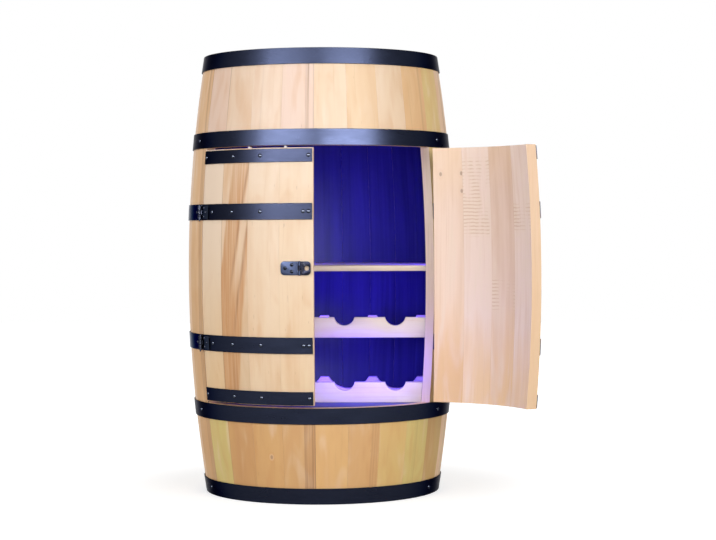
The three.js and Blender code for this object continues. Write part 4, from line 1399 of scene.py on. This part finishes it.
def add_hook():
    """A screwed plate on the right door, and the hook that turns on its stem into the eye."""
    angle = FACET_ANGLE / 2
    pivot = HOOK_PIVOT - FACET_HALF
    front = HOOK_ARM_BACK - GAP
    back = BULGE_RADIUS - FLAT_RADIUS + GAP / 2
    right = pivot - HOOK_EDGE + HOOK_PLATE_LENGTH
    half = HOOK_PLATE_WIDTH / 2
    rim = rounded_box(pivot - HOOK_EDGE, right, LATCH_HEIGHT - half, LATCH_HEIGHT + half,
                      (HOOK_PLATE_CORNER,) * 4)
    plate = stood_up(sheet_mesh([rim], front - back, SHEET_EASE), FLAT_RADIUS + (front + back) / 2, angle)
    rise = HOOK_ARM_BACK + HOOK_ARM_THICKNESS - front
    shoulder, crown = (rise + more for more in HOOK_CAP_RISES)
    stem = turned_mesh([
        (0, 0), (HOOK_STEM, 0), (HOOK_STEM, rise + GAP), (HOOK_STEM_HEAD * 0.9, rise + GAP),
        (HOOK_STEM_HEAD, rise + 2 * GAP), (HOOK_STEM_HEAD * 0.9, shoulder), (0, crown),
    ], TUBE_SEGMENTS)
    meshes = [plate, moved(stem, on_face(angle, pivot, FLAT_RADIUS + front, LATCH_HEIGHT))]
    for step, x in enumerate(((pivot + right) / 2, right - HOOK_SCREW_INSET)):
        meshes.append(set_screw(x, LATCH_HEIGHT, FLAT_RADIUS + front, angle, 0.9 + step))
    dress("hook_plate", merged(meshes, [LATCH_STEEL, SCREW_STEEL]), "leaf", 40)

    length = HOOK_PIVOT + LATCH_HOLE
    half = HOOK_ARM_WIDTH / 2
    foot = LATCH_HEIGHT - length
    waist = half * HOOK_WAIST
    upper, lower = (LATCH_HEIGHT - share * length for share in HOOK_WAIST_PLACES)
    rim = (arc(pivot, LATCH_HEIGHT, half, 0, math.pi, 12) + [(pivot - waist, upper), (pivot - waist, lower)]
           + arc(pivot, foot, half, math.pi, math.pi, 12) + [(pivot + waist, lower), (pivot + waist, upper)])
    bore = arc(pivot, LATCH_HEIGHT, HOOK_BORE, 0, 2 * math.pi, 36)[:-1]
    arm = stood_up(sheet_mesh([rim, bore], HOOK_ARM_THICKNESS, HOOK_ARM_EASE),
                   FLAT_RADIUS + HOOK_ARM_BACK + HOOK_ARM_THICKNESS / 2, angle)
    drop = HOOK_ARM_BACK - RUNNING_GAP
    tip = turned_mesh([
        (0, -drop), (HOOK_TIP * 0.7, -drop), (HOOK_TIP, -drop + HOOK_TIP_EASE),
        (HOOK_TIP, HOOK_TIP_ROOT), (0, HOOK_TIP_ROOT),
    ], TUBE_SEGMENTS)
    tip = moved(tip, on_face(angle, pivot, FLAT_RADIUS + HOOK_ARM_BACK, foot))
    dress("door_hook", merged([arm, tip], [LATCH_STEEL]), "arm", 40)


# Heads, floor, shelf, cleats and rails

HEAD_TONES = [0.2, 0.0, 0.35, 0.1, 0.3, 0.05]
FLOOR_TONES = [0.1, 0.3, 0.0, 0.2, 0.35]
PLANK_END_STEPS = 14
PLANK_END_HALF = 0.0005
STRIP_NOTCH_HALF = 0.0059
STRIP_NOTCH_DEPTH = 0.005
RAIL_EASE = 0.001


def fitted(mesh, x_only=False):
    """Draws a slab in to the staves' inner face, less its clearance."""
    for vertex in mesh.vertices:
        x, y, z = vertex.co
        wall = inner_radius(z) - GAP
        if x_only:
            reach = math.sqrt(max(0.0, wall * wall - y * y))
            vertex.co.x = max(-reach, min(reach, x))
        elif math.hypot(x, y) > wall:
            factor = wall / math.hypot(x, y)
            vertex.co.x, vertex.co.y = x * factor, y * factor
    return mesh


def tagged(mesh, tone):
    """Gives a plank its own grain seed and tone."""
    give(mesh, "board", [(random.uniform(1, 60), tone, 0.0)] * len(mesh.vertices))
    return mesh


def disc_planks(radius, low, high, count, tones):
    """A round head of straight planks that run along X."""
    width = 2 * radius / count
    planks = []
    for place in range(count):
        y0 = -radius + place * width + JOINT_GAP
        y1 = -radius + (place + 1) * width - JOINT_GAP
        side = [(max(math.sqrt(max(0.0, radius * radius - y * y)), PLANK_END_HALF), y)
                for y in levels(y0, y1, PLANK_END_STEPS)]
        outline = side + [(-x, y) for x, y in reversed(side)]
        planks.append(tagged(slab(outline, low, high), tones[place % len(tones)]))
    return planks


def add_heads():
    """The top head sits in its croze; the bottom head and the floor fit inside the staves."""
    for name, wood, slot, count, tones in (("top_head", HEAD_WOOD, "stave_wood", 6, HEAD_TONES),
                                           ("bottom_head", HEAD_WOOD, "stave_wood", 6, FLOOR_TONES),
                                           ("floor_board", PAINTED_SHADE_PLANK, "inner_wood", 4, FLOOR_TONES)):
        low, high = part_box(name)
        planks = disc_planks(high.x, low.z, high.z, count, tones)
        if name != "top_head":
            planks = [fitted(plank) for plank in planks]
        dress(name, merged(planks, [wood]), "boards")


def add_rack_board(name, mesh, tone, x_only=False):
    dress(name, merged([tagged(fitted(mesh, x_only), tone)], [RAIL_WOOD]), "board")


def add_shelf():
    """A round shelf with a straight front, notched for the two light strips, on two cleats."""
    low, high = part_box("shelf")
    radius = inner_radius(high.z) - GAP
    edge = math.acos(-low.y / radius)
    half = STRIP_NOTCH_HALF / radius
    notch = radius - STRIP_NOTCH_DEPTH
    side = [(radius, angle) for angle in levels(edge, STRIP_ANGLE - half, 2)]
    side += [(notch, STRIP_ANGLE - half), (notch, STRIP_ANGLE + half)]
    side += [(radius, angle) for angle in levels(STRIP_ANGLE + half, math.pi, 40)]
    right = [(reach * math.sin(angle), -reach * math.cos(angle)) for reach, angle in side]
    left = [(-x, y) for x, y in reversed(right[:-1])]
    add_rack_board("shelf", slab(right + left, low.z, high.z), 0.0)
    for way, word in SIDES:
        low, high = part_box(f"{word}_shelf_cleat")
        near = low.x if way > 0 else high.x
        wall = inner_radius(high.z) - GAP
        rim = [(way * math.sqrt(wall * wall - y * y), y) for y in levels(low.y, high.y, 8)]
        add_rack_board(f"{word}_shelf_cleat", slab([(near, high.y), (near, low.y)] + rim, low.z, high.z), 0.1)


BOTTLE_PITCH = 0.092
BOTTLES_PER_ROW = 4
NECK_NOTCH = (0.019, 0.004)
BODY_NOTCH = (0.044, 0.0215)


def rail_outline(left, right, low, high, notch):
    """A rail with round notches along its top, as many as fit wholly between its ends."""
    radius, rise = notch
    half = math.sqrt(radius * radius - rise * rise)
    start = math.asin(rise / radius)
    points = [(left, low), (right, low), (right, high)]
    for place in reversed(range(BOTTLES_PER_ROW)):
        x = (place - (BOTTLES_PER_ROW - 1) / 2) * BOTTLE_PITCH
        if abs(x) + half > right:
            return points
        points += arc(x, high + rise, radius, -start, 2 * start - math.pi, 18)
    return points + [(left, high)]


def add_rails():
    for row in ("lower", "upper"):
        for place, notch, tone in (("front", NECK_NOTCH, 0.0), ("back", BODY_NOTCH, 0.3)):
            name = f"{row}_{place}_rail"
            low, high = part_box(name)
            outline = rail_outline(low.x, high.x, low.z, high.z, notch)
            mesh = sheet_mesh([outline], high.y - low.y, RAIL_EASE)
            add_rack_board(name, stood_up(mesh, -(low.y + high.y) / 2, 0), tone, True)


# Light strips and power socket

LENS_SECTION = [(-1, 0), (-1, 0.35), (-0.9, 0.6), (-0.62, 0.85), (-0.25, 0.98),
                (0.25, 0.98), (0.62, 0.85), (0.9, 0.6), (1, 0.35), (1, 0)]
SOCKET_HEIGHT = 0.062
SOCKET_RADIUS = 0.0052
SOCKET_FLANGE = 0.009
SOCKET_FLANGE_THICKNESS = 0.002
SOCKET_JACK = 0.0034
SOCKET_JACK_DEPTH = 0.009
SOCKET_EASE = 0.0007
SOCKET_STEP = 0.0004
SOCKET_LIP = 0.0005
BORE_INWARD = 0.05
BORE_OUTWARD = 0.03
# The tip of the contact pin, as (radius, depth under the flange's face)
CONTACT_TIP = [(0.00095, 0.0022), (0.0007, 0.0016), (0, 0.0014)]
SOCKET_TILT = math.atan(-2 * (BULGE_RADIUS - END_RADIUS) * (SOCKET_HEIGHT / HALF_HEIGHT - 1) / HALF_HEIGHT)
SOCKET_PLACE = (shift_by(0, wood_radius(SOCKET_HEIGHT), SOCKET_HEIGHT)
                @ turn_by(-math.pi / 2 - SOCKET_TILT, "X"))


def add_light_strips():
    spread = STRIP_HALF * BULGE_RADIUS / (BULGE_RADIUS - STAVE_THICKNESS)
    wall = STAVE_THICKNESS + GAP
    for side, word in SIDES:
        name = f"{word}_light_strip"
        middle = side * STRIP_ANGLE * BULGE_RADIUS
        points = [(middle + share * spread, wall + depth * STRIP_DEPTH, z)
                  for z in levels(*heights(name), 18) for share, depth in LENS_SECTION]
        lens = grown_mesh(lofted(points, len(LENS_SECTION), [LENS]), COOPERING)
        dress(name, lens, "lens", 35)


def add_power_socket():
    """A round flanged body through the back stave, with a contact pin down its jack."""
    face = GAP + SOCKET_FLANGE_THICKNESS
    floor = face - SOCKET_JACK_DEPTH
    body = turned_mesh([
        (0, -STAVE_THICKNESS), (SOCKET_RADIUS, -STAVE_THICKNESS), (SOCKET_RADIUS, GAP / 2),
        (SOCKET_FLANGE, GAP / 2), (SOCKET_FLANGE, face - SOCKET_EASE), (SOCKET_FLANGE - SOCKET_EASE, face),
        (SOCKET_RADIUS + SOCKET_STEP, face), (SOCKET_RADIUS, face + SOCKET_LIP),
        (SOCKET_JACK + SOCKET_LIP, face + SOCKET_LIP), (SOCKET_JACK, face), (SOCKET_JACK, floor), (0, floor),
    ], 40)
    foot = floor - SOCKET_LIP
    tip = [(radius, face - depth) for radius, depth in CONTACT_TIP]
    pin = turned_mesh([(0, foot), (CONTACT_TIP[0][0], foot)] + tip, PIN_SEGMENTS)
    mesh = merged([body, painted(pin, 1)], [PLASTIC, CONTACT])
    dress("power_socket", moved(mesh, SOCKET_PLACE), "body", 35)


# Studio

FLOOR_HALF = 6
FLOOR_GREY = 0.58
NEAR_GLOW = 0.64
FAR_GLOW = 0.95
WORLD_FILL = 0.34
WHITE = (1, 1, 1)
LIGHT_BLUE = (0.075, 0.045, 1.0)
# Soft lamps that face the barrel: azimuth, elevation, distance, width, height, power
KEY_LAMPS = {"left_key": (-47, 16, 3.2, 2.3, 1.1, 41), "right_key": (37, 16, 3.2, 2.2, 1.1, 48)}
# The same, seen in reflections alone
SHEEN_LAMPS = {"left_sheen": (-28, 17, 3.1, 2.45, 1.0, 225), "right_sheen": (25, 17, 3.1, 2.45, 1.0, 285)}
# Light of each strip, and where a strip's lamp stands before its lens and looks to
STRIP_POWERS = (4.4, 1.6)
STRIP_LAMP_GAP = 0.004
STRIP_LAMP_WIDTH = 0.008
STRIP_LAMP_HEIGHT = 0.43
STRIP_LAMP_SPREAD = math.radians(110)
STRIP_TARGET = (0.02, 0.17)
# Light that spills round the racks: place, target, width, power
SPILL_LAMPS = {
    "rack_glow": ((0.075, -0.172, 0.250), (0.03, 0.0, 0.17), 0.10, 0.26),
    "post_glow": ((0.115, -0.160, 0.255), (0.215, -0.165, 0.24), 0.04, 0.10),
    "floor_glow": ((0.0, -0.03, 0.262), (0.06, 0.10, 0.17), 0.12, 0.5),
}
SPILL_HEIGHT = 0.05


def seen_share(tree):
    """1 where the camera, a reflection or clear glass looks, 0 where the surface only lights others."""
    rays = wires(tree, "ShaderNodeLightPath")
    return maths("MAXIMUM", rays["Is Camera Ray"],
                 maths("MAXIMUM", rays["Is Glossy Ray"], rays["Is Transmission Ray"]))


def add_floor():
    material, tree = new_material("studio_floor")
    place = wire(tree, "ShaderNodeTexCoord", output="Object")
    reach = wire(tree, "ShaderNodeVectorMath", {0: place}, "Value", operation="LENGTH")
    shaded(material, {
        "Base Color": (FLOOR_GREY, FLOOR_GREY, FLOOR_GREY, 1), "Roughness": 0.9, "Specular IOR Level": 0.0,
        "Emission Color": (1, 1, 1, 1),
        "Emission Strength": seen_share(tree) * ramp(reach, 0.26, 0.62, NEAR_GLOW, FAR_GLOW)})
    half = FLOOR_HALF
    corners = [(-half, -half, 0), (half, -half, 0), (half, half, 0), (-half, half, 0)]
    floor = put("studio_floor", mesh_of("floor", corners, [(0, 1, 2, 3)], [material]))


def set_world():
    world = bpy.data.worlds.new("studio")
    bpy.context.scene.world = world
    world.use_nodes = True
    tree = world.node_tree
    tree.nodes.clear()
    strength = seen_share(tree) * (1 - WORLD_FILL) + WORLD_FILL
    sky = wire(tree, "ShaderNodeBackground", {"Color": (1, 1, 1, 1), "Strength": strength})
    node(tree, "ShaderNodeOutputWorld", {0: sky})


def add_lamp(name, place, target, width, height, power, colour=WHITE):
    data = bpy.data.lights.new(name, "AREA")
    data.energy = power
    data.color = colour
    data.shape = "RECTANGLE"
    data.size = width
    data.size_y = height
    lamp = put(name, data)
    lamp.location = place
    lamp.rotation_mode = "QUATERNION"
    lamp.rotation_quaternion = (Vector(target) - Vector(place)).to_track_quat("-Z", "Y")
    return lamp


def add_soft_lamp(name, azimuth, elevation, distance, width, height, power):
    """A lamp at an angle round the barrel that faces its middle."""
    turn, rise = math.radians(azimuth), math.radians(elevation)
    place = (math.sin(turn) * math.cos(rise) * distance, -math.cos(turn) * math.cos(rise) * distance,
             HALF_HEIGHT + math.sin(rise) * distance)
    return add_lamp(name, place, (0, 0, HALF_HEIGHT), width, height, power)


def add_lamps():
    for name, settings in KEY_LAMPS.items():
        add_soft_lamp(name, *settings)
    for name, settings in SHEEN_LAMPS.items():
        add_soft_lamp(name, *settings).visible_diffuse = False
    radius = inner_radius(HALF_HEIGHT) - STRIP_DEPTH - STRIP_LAMP_GAP
    x, y = math.sin(STRIP_ANGLE) * radius, -math.cos(STRIP_ANGLE) * radius
    for (side, word), power in zip(SIDES, STRIP_POWERS):
        target = (side * STRIP_TARGET[0], STRIP_TARGET[1], HALF_HEIGHT)
        glow = add_lamp(f"{word}_strip_glow", (side * x, y, HALF_HEIGHT), target, STRIP_LAMP_WIDTH,
                        STRIP_LAMP_HEIGHT, power, LIGHT_BLUE)
        glow.data.spread = STRIP_LAMP_SPREAD
    for name, (place, target, width, power) in SPILL_LAMPS.items():
        spill = add_lamp(name, place, target, width, SPILL_HEIGHT, power, LIGHT_BLUE)
        spill.visible_camera = False


add_camera()
add_barrel_staves()
add_doors()
add_steelwork()
add_hinges()
add_latch()
add_hook()
add_heads()
add_shelf()
add_rails()
add_light_strips()
add_power_socket()
for stock in (RIVET_HEAD, SCREW_HEAD):
    bpy.data.objects.remove(stock)
add_floor()
set_world()
add_lamps()
bpy.context.scene.view_settings.view_transform = "Standard"
